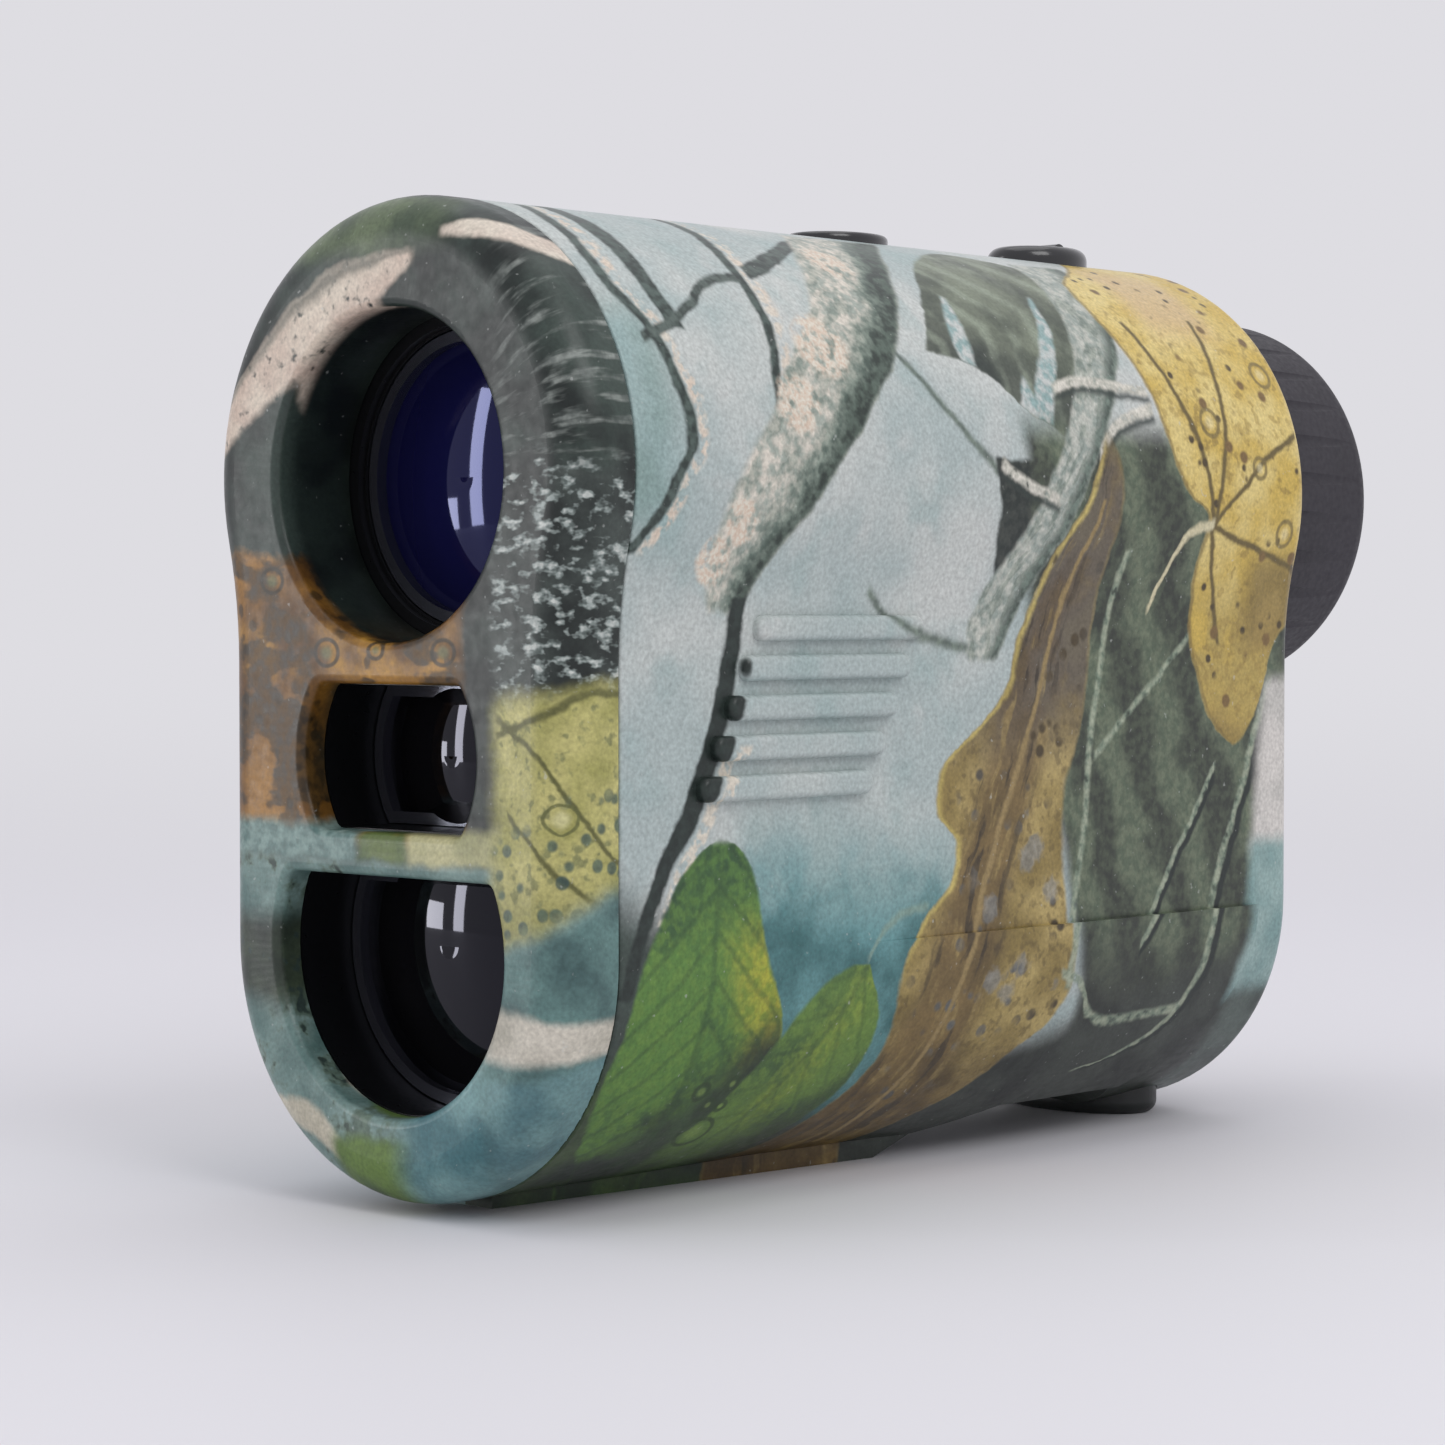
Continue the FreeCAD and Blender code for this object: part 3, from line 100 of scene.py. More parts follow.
class Graph:
    """Writes one material's node tree."""

    def __init__(self, name):
        self.material = bpy.data.materials.new(name)
        self.material.use_nodes = True
        self.tree = self.material.node_tree
        self.tree.nodes.clear()
        output = self.tree.nodes.new("ShaderNodeOutputMaterial")
        self.shader = self.tree.nodes.new("ShaderNodeBsdfPrincipled")
        self.tree.links.new(self.shader.outputs["BSDF"], output.inputs["Surface"])
        self.output = output
        self.known = {}
        coordinates = self.node("ShaderNodeTexCoord")
        scale = self.node("ShaderNodeVectorMath", operation="SCALE")
        self.tree.links.new(coordinates.outputs["Object"], scale.inputs[0])
        scale.inputs["Scale"].default_value = 1 / MM
        self.place = Value(self, scale.outputs[0])
        self.x, self.y, self.z = self.split(self.place)

    def node(self, kind, **settings):
        made = self.tree.nodes.new(kind)
        for key, value in settings.items():
            setattr(made, key, value)
        return made

    def once(self, make, *key):
        """Gives back the same Value when the same thing is asked for again, which keeps the tree small."""
        if key not in self.known:
            self.known[key] = make()
        return self.known[key]

    def put(self, socket, value):
        """Links a Value to a socket, or sets a plain number or colour on it."""
        if isinstance(value, Value):
            self.tree.links.new(value.socket, socket)
        else:
            socket.default_value = value

    def set(self, **values):
        """Sets the shader's own sockets, named with underscores for spaces."""
        for key, value in values.items():
            self.put(self.shader.inputs[key.replace("_", " ")], value)

    def math(self, operation, a, b=0.0):
        def make():
            made = self.node("ShaderNodeMath", operation=operation)
            self.put(made.inputs[0], a)
            self.put(made.inputs[1], b)
            return Value(self, made.outputs[0])
        return self.once(make, operation, a, b)

    def lowest(self, a, b):
        return self.math("MINIMUM", a, b)

    def highest(self, a, b):
        return self.math("MAXIMUM", a, b)

    def split(self, vector):
        made = self.node("ShaderNodeSeparateXYZ")
        self.put(made.inputs[0], vector)
        return [Value(self, socket) for socket in made.outputs]

    def vector(self, a, b, c=0.0):
        made = self.node("ShaderNodeCombineXYZ")
        self.put(made.inputs[0], a)
        self.put(made.inputs[1], b)
        self.put(made.inputs[2], c)
        return Value(self, made.outputs[0])

    def ramp(self, value, start, end):
        """0 at start, 1 at end, with soft ends; start may be larger than end."""
        def make():
            made = self.node("ShaderNodeMapRange", interpolation_type="SMOOTHSTEP", clamp=False)
            self.put(made.inputs["Value"], value)
            self.put(made.inputs["From Min"], start)
            self.put(made.inputs["From Max"], end)
            return Value(self, made.outputs["Result"])
        return self.once(make, "ramp", value, start, end)

    def line(self, value, start, end, low=0.0, high=1.0):
        """low at start, high at end, straight between and beyond."""
        made = self.node("ShaderNodeMapRange", clamp=False)
        self.put(made.inputs["Value"], value)
        self.put(made.inputs["From Min"], start)
        self.put(made.inputs["From Max"], end)
        made.inputs["To Min"].default_value = low
        made.inputs["To Max"].default_value = high
        return Value(self, made.outputs["Result"])

    def curve(self, value, points):
        """A smooth curve through the given (in, out) pairs, level beyond its ends."""
        def make():
            made = self.node("ShaderNodeFloatCurve")
            mapping = made.mapping
            mapping.use_clip = False
            mapping.extend = "HORIZONTAL"
            line = mapping.curves[0]
            ordered = sorted(points)
            line.points[0].location = ordered[0]
            line.points[1].location = ordered[-1]
            for point in ordered[1:-1]:
                line.points.new(*point)
            for point in line.points:
                point.handle_type = "AUTO_CLAMPED"
            mapping.update()
            self.put(made.inputs["Value"], value)
            return Value(self, made.outputs[0])
        return self.once(make, "curve", value, tuple(points))

    def noise(self, size, detail=2.0, vector=None, shift=0.0):
        """Soft noise whose grains are about size millimetres, between 0 and 1."""
        def make():
            made = self.node("ShaderNodeTexNoise", noise_dimensions="4D")
            self.put(made.inputs["Vector"], self.place if vector is None else vector)
            made.inputs["W"].default_value = shift
            made.inputs["Scale"].default_value = 1 / size
            made.inputs["Detail"].default_value = detail
            return Value(self, made.outputs["Fac"])
        return self.once(make, "noise", size, detail, vector, shift)

    def cells(self, size):
        """Distance to the nearest scattered point, in units of size millimetres."""
        def make():
            made = self.node("ShaderNodeTexVoronoi")
            self.put(made.inputs["Vector"], self.place)
            made.inputs["Scale"].default_value = 1 / size
            return Value(self, made.outputs["Distance"])
        return self.once(make, "cells", size)

    def mix(self, factor, a, b):
        def make():
            made = self.node("ShaderNodeMix", data_type="RGBA")
            self.put(made.inputs[0], factor)
            self.put(made.inputs[6], a)
            self.put(made.inputs[7], b)
            return Value(self, made.outputs[2])
        return self.once(make, "mix", factor, a, b)

    def shade(self, colour, factor):
        """A colour multiplied by a grey factor near 1."""
        made = self.node("ShaderNodeVectorMath", operation="SCALE")
        self.put(made.inputs[0], colour if isinstance(colour, Value) else colour[:3])
        self.put(made.inputs["Scale"], factor)
        return Value(self, made.outputs[0])

    def bump(self, height, strength, distance):
        made = self.node("ShaderNodeBump")
        made.inputs["Strength"].default_value = strength
        made.inputs["Distance"].default_value = distance * MM
        self.put(made.inputs["Height"], height)
        normal = Value(self, made.outputs[0])
        self.put(self.shader.inputs["Normal"], normal)
        return normal


# ---------------------------------------------------------------- printed film
class Film(Graph):
    """The camouflage film. u runs back from the front face and v up round the section, both in mm."""

    def __init__(self, name):
        super().__init__(name)
        level = self.lowest(self.highest(self.z, LOWER_AXIS), UPPER_AXIS)
        rise = self.z - level
        side = abs(self.x)
        upper_turn = self.math("ARCTAN2", self.highest(rise, 0.0), side)
        lower_turn = self.math("ARCTAN2", self.highest(-rise, 0.0), side)
        reach = self.math("SQRT", side * side + rise * rise)
        edge = self.line(level, LOWER_AXIS, UPPER_AXIS, LOWER_RADIUS, UPPER_RADIUS)
        self.rise = rise
        self.depth = self.y - FRONT
        self.reach = reach
        self.u = self.depth + self.highest(edge - reach, 0.0) * 0.6
        self.v = level + upper_turn * UPPER_RADIUS - lower_turn * LOWER_RADIUS

    def settle(self, soft=0.9, softness=6.0, rough_edge=0.45):
        """Works out the warped coordinates that give every painted edge its natural wobble."""
        broad = self.noise(softness, 2.0, shift=3.1) - 0.5
        small = self.noise(1.1, 2.0, shift=7.7) - 0.5
        self.grain = self.noise(0.32, 1.0, shift=1.3)
        self.fleck = self.noise(0.9, 2.0, shift=5.5)
        self.cloud = self.noise(5.0, 3.0, shift=9.2)
        self.drift = self.noise(14.0, 2.0, shift=2.4)
        self.wu = self.u + broad * (2 * soft) + small * rough_edge
        self.wv = self.v + (self.cloud - 0.5) * (1.2 * soft) + (self.fleck - 0.5) * rough_edge
        self.colour = None

    def ground(self, colour):
        self.colour = colour

    def mottle(self, dark, light, source=None, low=0.35, high=0.65):
        """Two tones mixed by a noise field."""
        return self.mix(self.ramp(self.cloud if source is None else source, low, high), dark, light)

    def over(self, mask, colour):
        self.colour = self.mix(mask, self.colour, colour)

    def within(self, value, low, high, soft=0.6):
        """1 where value lies between low and high."""
        return self.ramp(value, low - soft, low + soft) * self.ramp(value, high + soft, high - soft)

    def strip(self, along, across, centre, half_width, soft=0.25):
        """A band round a curved centre line. Returns its mask and where across it a point is, -1 to 1."""
        offset = across - self.curve(along, centre)
        width = self.curve(along, half_width) if isinstance(half_width, list) else half_width
        side = offset / self.highest(width, 0.02) if isinstance(width, Value) else offset / width
        distance = abs(offset)
        start, end = width + soft, width - soft
        mask = self.ramp(distance, start, end)
        first, last = min(centre)[0], max(centre)[0]
        return mask * self.within(along, first, last, soft), side

    def frame_of(self, origin, angle):
        """Coordinates along and across a direction, from an origin."""
        turn = math.radians(angle)
        du = self.wu - origin[0]
        dv = self.wv - origin[1]
        along = du * math.cos(turn) + dv * math.sin(turn)
        across = dv * math.cos(turn) - du * math.sin(turn)
        return along, across

    def leaf(self, along, across, left, right, soft=0.3):
        """A leaf blade: left and right give its half widths along the midrib."""
        upper = self.ramp(self.curve(along, left) - across, 0.0, 2 * soft)
        lower = self.ramp(self.curve(along, right) + across, 0.0, 2 * soft)
        return upper * lower

    def veins(self, along, across, pitch, slant, width, soft=0.15):
        """Side veins that leave the midrib at a slant on both sides."""
        phase = (along + abs(across) * slant) / pitch
        wave = abs(self.math("FRACT", phase) - 0.5) * pitch
        return self.ramp(wave, width + soft, width * 0.3)

    def ring(self, centre, radius, u=None, v=None, stretch=1.0):
        """A water drop: dark rim and bright middle, returned as two masks."""
        du = (self.u if u is None else u) - centre[0]
        dv = ((self.v if v is None else v) - centre[1]) * stretch
        distance = self.math("SQRT", du * du + dv * dv)
        rim = self.ramp(abs(distance - radius), 0.32, 0.08)
        middle = self.ramp(distance, radius * 0.75, radius * 0.2)
        return rim, middle

    def finish(self, rough=0.36):
        speck = self.shade(self.colour, self.line(self.grain, 0.3, 0.7, 0.86, 1.14))
        fleck = self.ramp(self.noise(0.55, 1.0, shift=8.8), 0.70, 0.80)
        speck = self.mix(fleck * 0.35, speck, tone(196, 200, 196))
        self.set(Base_Color=speck)
        self.set(Roughness=self.line(self.fleck, 0.3, 0.7, rough - 0.05, rough + 0.07))
        self.set(Specular_IOR_Level=0.34, Coat_Weight=0.05, Coat_Roughness=0.28)
        fabric = self.math("SINE", self.v * 9.0) * 0.3 + self.grain
        self.bump(fabric, 0.10, 0.05)
        return self.material


CREAM = tone(208, 201, 186)
PEACH = tone(216, 196, 176)
PALE = tone(190, 194, 190)
MIST = tone(166, 178, 176)
TEAL_LIGHT = tone(138, 164, 162)
TEAL = tone(98, 144, 146)
TEAL_DEEP = tone(52, 96, 97)
BARK_DARK = tone(44, 54, 50)
BLACK_GREEN = tone(34, 42, 39)
OLIVE = tone(72, 80, 66)
OLIVE_LIGHT = tone(112, 122, 100)
OLIVE_DARK = tone(50, 55, 48)
MOSS = tone(90, 104, 84)
OCHRE = tone(160, 142, 86)
OCHRE_LIGHT = tone(190, 172, 116)
BROWN = tone(96, 80, 50)
PURPLE = tone(84, 76, 72)
MAPLE = tone(196, 168, 82)
MAPLE_LIGHT = tone(214, 194, 126)
MAPLE_SHADE = tone(122, 104, 58)
SPOT = tone(74, 62, 40)
LEAF = tone(84, 120, 60)
LEAF_LIGHT = tone(154, 158, 58)
LEAF_DARK = tone(48, 72, 50)
SLATE = tone(52, 60, 56)


def pale_ground(g):
    """Pale mottled ground, with deeper teal low down and near the bezel."""
    u, v = g.wu, g.wv
    g.ground(g.mottle(MIST, PALE, g.drift, 0.40, 0.60))
    g.over(g.ramp(g.cloud, 0.5, 0.72) * 0.6, tone(150, 170, 168))
    g.over(g.ramp(g.cloud, 0.42, 0.22) * 0.5, tone(200, 198, 194))
    g.over(g.within(u, 2, 10, 2.5) * g.within(v, 50, 68, 3) * 0.75,
           g.mottle(tone(112, 142, 136), TEAL_LIGHT))
    low = g.ramp(v + (u - 20) * 0.12, 35.0, 23.0) * g.within(u, 18, 46, 2.5)
    g.over(low, g.mottle(TEAL, TEAL_LIGHT))
    g.over(g.ramp(v, 26.0, 19.0) * g.within(u, 19, 42, 2), g.mottle(TEAL_DEEP, TEAL))


def front_shade(g):
    """Slate ground low at the front and behind the green leaves, and painted shade along the underside."""
    u, v = g.wu, g.wv
    front_low = g.ramp(v + (u - 6) * 0.4, 27.0, 21.0) * g.ramp(u, 22.0, 17.0)
    g.over(front_low, g.mottle(SLATE, tone(62, 74, 68)))

    # painted shade: dark green along the underside, where the body turns away from the lights
    under = g.ramp(v + (u - 22) * 0.3, 9.0, 4.0) * g.ramp(u, 38.0, 35.0)
    g.over(under, g.mottle(tone(40, 52, 44), tone(66, 84, 54)))


def thin_branches(g):
    """Thin dark branches near the bezel, some with a cream edge."""
    for centre, width, edge in (
        ([(49, 6.0), (54, 9.3), (58, 11.4), (62, 10.9), (66, 9.6), (70, 7.8), (76, 8.2), (83, 9.4)], 0.55,
         1),
        ([(66, 12.8), (70, 12.0), (75, 11.8), (84, 12.3)], 0.95, 0),
        ([(60, 21.2), (65, 22.4), (70, 23.0), (75, 23.6), (84, 24.6)], 0.55, 1),
    ):
        if edge:
            shifted = [(a, b + 1.25) for a, b in centre]
            mask, _ = g.strip(g.wv, g.wu, shifted, 0.6, 0.4)
            g.over(mask * g.ramp(g.fleck, 0.42, 0.58) * 0.85, g.mottle(CREAM, PEACH))
        mask, _ = g.strip(g.wv, g.wu, centre, width)
        g.over(mask, g.mottle(BARK_DARK, tone(78, 92, 86), g.fleck))
    for centre, width in (
        ([(8.5, 65.0), (12, 66.3), (15, 68.2), (19, 71.0), (23, 71.8)], 0.5),
        ([(24.5, 72.6), (29, 74.8), (34, 78.0), (40, 80.0), (47, 81.0)], 0.9),
    ):
        mask, _ = g.strip(g.wu, g.wv, centre, width)
        g.over(mask, g.mottle(BARK_DARK, tone(86, 98, 92), g.fleck))


def trunk(g):
    """The trunk that leans back, pale above and dark beneath, and the thin branch that it runs into."""
    u, v = g.wu, g.wv
    mask, side = g.strip(v, u, [(45, 16.6), (50, 18.2), (55, 21.5), (60, 26.0), (65, 30.5), (70, 34.8),
                                (77, 39.0), (82, 43.0)],
                         [(45, 1.6), (50, 3.8), (55, 4.7), (60, 5.4), (65, 5.7), (70, 5.2), (77, 5.2),
                          (82, 5.6)], 0.5)
    tilt = side + (g.cloud - 0.5) * 1.6
    bark = g.noise(1.0, 3.0, g.vector(side * 3.2, v * 0.45, 0.0), shift=6.1)
    g.over(mask, g.mottle(tone(156, 164, 154), tone(208, 201, 188), g.fleck))
    g.over(mask * g.ramp(bark, 0.46, 0.60) * 0.6, g.mottle(tone(104, 118, 108), tone(146, 156, 144),
                                                           g.fleck))
    g.over(mask * g.ramp(tilt, -0.1, 0.45), g.mottle(tone(88, 104, 94), tone(136, 148, 136), g.fleck))
    g.over(mask * g.ramp(tilt, 0.25, 0.75), g.mottle(tone(44, 54, 48), tone(84, 98, 88), g.fleck))
    for spot, size in (((28, 65.5), 3.2), ((23.5, 60.5), 2.6), ((17, 51.5), 1.9), ((14.8, 48.6), 1.9),
                       ((36.5, 75.5), 2.6)):
        du = (u - spot[0]) / size
        dv = (v - spot[1]) / size
        g.over(g.ramp(du * du + dv * dv, 1.1, 0.5) * g.ramp(g.fleck, 0.3, 0.55),
               g.mottle(PEACH, CREAM, g.grain))
    mask, _ = g.strip(g.wv, g.wu, [(17, 6.2), (22, 8.0), (27, 11.0), (32, 14.2), (36, 16.2), (40, 17.2),
                                   (46, 18.2)],
                         [(17, 0.7), (27, 0.9), (32, 1.1), (46, 0.8)])
    g.over(mask, g.mottle(BLACK_GREEN, BARK_DARK, g.fleck))
    mask, side = g.strip(g.wv, g.wu, [(22, 10.0), (27, 13.0), (31, 15.8), (35, 18.0)], 0.7)
    g.over(mask * g.ramp(g.fleck, 0.4, 0.55), CREAM)


def twigs(g):
    """A thin dark line and a twig in the pale ground."""
    for along, across, centre, width in (
        (g.wu, g.wv, [(36.5, 65.5), (39, 62.5), (42, 59.5), (46.5, 55.8)], 0.45),
        (g.wu, g.wv, [(33.0, 46.5), (36.0, 44.0), (40.0, 43.0), (49, 41.5)], 0.4),
    ):
        mask, _ = g.strip(along, across, centre, width, 0.4)
        g.over(mask * 0.85, g.mottle(tone(66, 80, 70), tone(104, 118, 104), g.fleck))


def leaf_cluster(g):
    """Shadowed leaf cluster behind the pale branch."""
    u, v = g.wu, g.wv
    along, across = g.frame_of((41, 66), 18)
    mask = g.leaf(along, across, [(-1, 0), (4, 4.0), (10, 8.5), (18, 10), (24, 7), (29, 0)],
                  [(-1, 0), (4, 3.0), (9, 9.0), (14, 12), (20, 9), (26, 2), (28, 0)])
    g.over(mask, g.mottle(tone(74, 82, 70), tone(118, 126, 108)))
    g.over(mask * g.ramp(v + (u - 50) * 0.5, 70.0, 63.0), g.mottle(tone(48, 56, 51), tone(84, 90, 80)))
    g.over(mask * g.veins(along, across, 3.6, 0.5, 0.5, 0.6) * g.ramp(g.cloud, 0.4, 0.6) * 0.6,
           tone(146, 156, 138))
    for centre, width in (
        ([(58, 52.5), (62, 53.5), (67, 56.5), (73, 59.5)], [(58, 0.3), (62, 1.3), (68, 0.9), (73, 0.2)]),
        ([(57, 50.5), (60, 51.0), (64, 51.6)], [(57, 0.3), (60, 1.5), (64, 0.2)]),
        ([(63, 45.2), (67, 45.6), (72, 47.0)], [(63, 0.3), (67, 1.1), (72, 0.3)]),
    ):
        streak, _ = g.strip(v, u, centre, width, 0.35)
        g.over(streak * mask, g.mottle(TEAL_LIGHT, PALE, g.fleck))
    mask, _ = g.strip(v, u, [(46, 48.4), (50, 49.0), (54, 50.0), (57, 49.5)],
                      [(46, 0.4), (50, 2.0), (54, 3.2), (57, 3.6)])
    g.over(mask, g.mottle(BLACK_GREEN, tone(60, 65, 60), g.fleck))


def olive_leaf(g):
    """Dark olive folded leaf behind everything on the rear half."""
    u, v = g.wu, g.wv
    rear = g.ramp(u + (v - 30) * 0.22, 55.0, 57.0) * g.ramp(v, 62.0, 58.0)
    fold = g.math("SINE", (g.wu * 0.8 + g.wv * 0.3) * 0.95 + (g.cloud - 0.5) * 6.0)
    g.over(rear, g.mix(g.ramp(fold, -0.9, 1.1) * 0.8, g.mottle(OLIVE_DARK, OLIVE, g.fleck),
                       g.mottle(MOSS, OLIVE_LIGHT, g.fleck)))
    # painted shade: near-black low on the rear, where the underside turns away from the lights
    g.over(rear * g.ramp(v + (u - 70) * 0.25, 20.0, 9.0), g.mottle(tone(36, 40, 37), tone(58, 62, 56)))


def pale_branch(g):
    """Pale bark branch that crosses in front of the cluster."""
    u, v = g.wu, g.wv
    mask, side = g.strip(v, u, [(41, 47.0), (45, 48.5), (50, 52.0), (55, 55.0), (60, 58.5), (65, 62.0),
                                (72, 65.2), (80, 67.5)],
                         [(41, 1.6), (45, 2.8), (50, 2.6), (55, 2.4), (60, 2.6), (65, 3.0), (72, 3.2),
                          (80, 3.6)], 0.4)
    tilt = side + (g.fleck - 0.5) * 1.2
    bark = g.noise(1.0, 3.0, g.vector(side * 2.4, v * 0.45, 0.0), shift=6.9)
    g.over(mask, g.mottle(tone(144, 154, 146), tone(186, 188, 178), g.fleck))
    g.over(mask * g.ramp(bark, 0.46, 0.60) * 0.7, g.mottle(tone(104, 116, 106), tone(140, 150, 138),
                                                           g.fleck))
    g.over(mask * g.ramp(tilt, 0.2, 0.8), g.mottle(tone(60, 72, 64), tone(108, 122, 112), g.fleck))
    for centre, width in (
        ([(55, 63.2), (60, 64.0), (68, 63.3)], 0.5),
        ([(59.5, 57.5), (63, 60.4), (68, 61.8)], 0.55),
        ([(46.8, 56.6), (50, 55.0), (54, 53.8)], 0.5),
    ):
        mask, _ = g.strip(g.wu, g.wv, centre, width)
        g.over(mask * g.ramp(g.fleck, 0.26, 0.44), g.mottle(tone(176, 176, 164), tone(212, 208, 196),
                                                            g.fleck))
        low_edge = [(a, b - 0.8) for a, b in centre]
        mask, _ = g.strip(g.wu, g.wv, low_edge, 0.3, 0.35)
        g.over(mask * 0.85, BARK_DARK)


def low_shade(g):
    """Painted shade along the underside, under the ochre leaf."""
    u, v = g.wu, g.wv
    g.over(g.ramp(v - (u - 44) * 0.25, 9.0, 5.0) * g.ramp(u, 40.0, 43.0),
           g.mottle(tone(38, 43, 40), tone(62, 68, 62)))


def ochre_leaf(g):
    """Long lobed ochre leaf with a brown streaked middle."""
    u, v = g.wu, g.wv
    left = [(-8, 27.0), (-2, 30.5), (4, 34.0), (8, 36.2), (12, 37.0), (16, 36.8), (20, 38.8), (24, 43.0),
            (26.5, 43.4),
            (29, 41.0), (32, 41.4), (35, 45.5), (38, 49.6), (43, 52.0), (50, 55.0), (55, 58.5), (60, 61.0)]
    right = [(-8, 40.0), (-2, 44.0), (2, 47.0), (6, 51.0), (9, 53.6), (12, 57.0), (16, 58.2), (20, 57.4),
             (25, 56.8),
             (30, 57.2), (36, 59.8), (44, 61.0), (50, 62.0), (55, 62.5), (60, 61.5)]
    inside = g.ramp(u - g.curve(v, left), -0.35, 0.35) * g.ramp(g.curve(v, right) - u, -0.35, 0.35)
    inside = inside * g.ramp(v, 60.0, 56.0)
    mask, side = g.strip(v, u, [(-8, 35.0), (5, 40.5), (12, 42.5), (20, 45.0), (28, 48.6), (36, 52.0),
                                (44, 55.0), (50, 57.0),
                                (60, 60.5)],
                         [(-8, 6.0), (12, 4.6), (28, 3.6), (44, 3.4), (60, 1.4)], 1.8)
    g.over(inside, g.mottle(tone(134, 116, 66), tone(176, 156, 100)))
    g.over(inside * g.ramp(g.fleck, 0.52, 0.66) * 0.5, tone(92, 78, 48))
    g.over(inside * mask, g.mottle(BROWN, tone(122, 102, 64)))
    g.over(inside * g.ramp(v, 30.0, 40.0) * g.ramp(g.cloud, 0.30, 0.55),
           g.mottle(PURPLE, tone(104, 96, 80)))
    # painted shade: darker brown low on the leaf, where it turns under the body
    g.over(inside * g.ramp(v + (u - 40) * 0.3, 16.0, 4.0), g.mottle(tone(76, 62, 40), tone(118, 98, 58)))
    streak = g.noise(1.2, 3.0, g.vector(side * 3.6, v * 0.22, 0.0), shift=8.3)
    g.over(inside * mask * g.ramp(streak, 0.54, 0.66) * 0.7,
           g.mottle(tone(132, 112, 68), tone(160, 140, 90), g.fleck))
    g.over(inside * mask * g.ramp(streak, 0.46, 0.36) * 0.8,
           g.mottle(tone(46, 40, 32), tone(72, 62, 46), g.fleck))
    rim, _ = g.strip(v, u, left, 0.5, 0.4)
    g.over(inside * rim * g.ramp(v, 15.0, 20.0), g.mottle(tone(176, 158, 90), tone(200, 182, 108)))
    dots = g.ramp(g.cells(2.1), 0.34, 0.20) * g.ramp(g.cloud, 0.45, 0.6)
    g.over(inside * dots, g.mottle(SPOT, tone(96, 98, 96), g.drift))
    glint = g.ramp(g.cells(4.6) + (g.fleck - 0.5) * 0.4, 0.30, 0.16) * g.within(u, 46, 57, 1.5)
    g.over(inside * glint * 0.7, g.mottle(tone(112, 114, 112), tone(150, 150, 144), g.fleck))
    mask, _ = g.strip(g.wv, g.wu, [(-2, 38.5), (8, 41.6), (20, 45.6), (32, 51.0), (44, 56.4), (54, 60.0)],
                      0.28, 0.22)
    g.over(inside * mask, tone(146, 126, 84))


def pale_veins(g):
    """Pale veins and stems over the dark leaf."""
    for along, across, centre, width, kind in (
        (g.wv, g.wu, [(14, 57.6), (20, 58.2), (27, 59.6), (35, 61.2), (43, 63.0), (50, 64.4)], 0.38, 0),
        (g.wu, g.wv, [(61.5, 33.0), (65, 35.5), (69, 38.3), (74.5, 42.6)], 0.34, 0),
        (g.wu, g.wv, [(66.6, 17.2), (70, 20.8), (74, 26.0), (78.5, 31.6)], 0.40, 1),
        (g.wu, g.wv, [(56.5, 15.4), (59, 14.6), (61.5, 11.8), (64.5, 10.6), (69, 10.8), (74.5, 11.2)], 0.42,
         0),
        (g.wv, g.wu, [(5.5, 64.0), (8, 71.0), (13, 75.5), (19, 77.2), (26, 80.4), (32, 83.4), (39, 86.4)],
         0.42, 1),
    ):
        if kind:
            lower = [(a, b + 0.9) for a, b in centre] if along is g.wv else [(a, b - 0.8) for a,
                                                                             b in centre]
            mask, _ = g.strip(along, across, lower, 0.5)
            g.over(mask, BLACK_GREEN)
        mask, _ = g.strip(along, across, centre, width)
        g.over(mask * g.ramp(g.fleck, 0.25, 0.45) * 0.85,
               g.mottle(tone(118, 134, 116), tone(164, 172, 150), g.fleck))


def rear_corner(g):
    """Cream and teal patches on the rear corner, and painted shade in slate low down at the rear."""
    u, v = g.wu, g.wv
    corner = g.ramp(u - (v - 12) * 0.16, 80.5, 82.5)
    g.over(corner * g.within(v, 24, 39, 1.0), g.mottle(tone(186, 184, 178), tone(206, 202, 196)))
    g.over(corner * g.within(v, 11, 25, 1.0), g.mottle(tone(122, 152, 150), tone(150, 174, 170)))
    # painted shade: slate on the underside at the rear corner
    g.over(g.ramp(u, 82.0, 84.0) * g.ramp(v, 13.0, 10.0), g.mottle(tone(60, 70, 66), tone(84, 96, 90)))


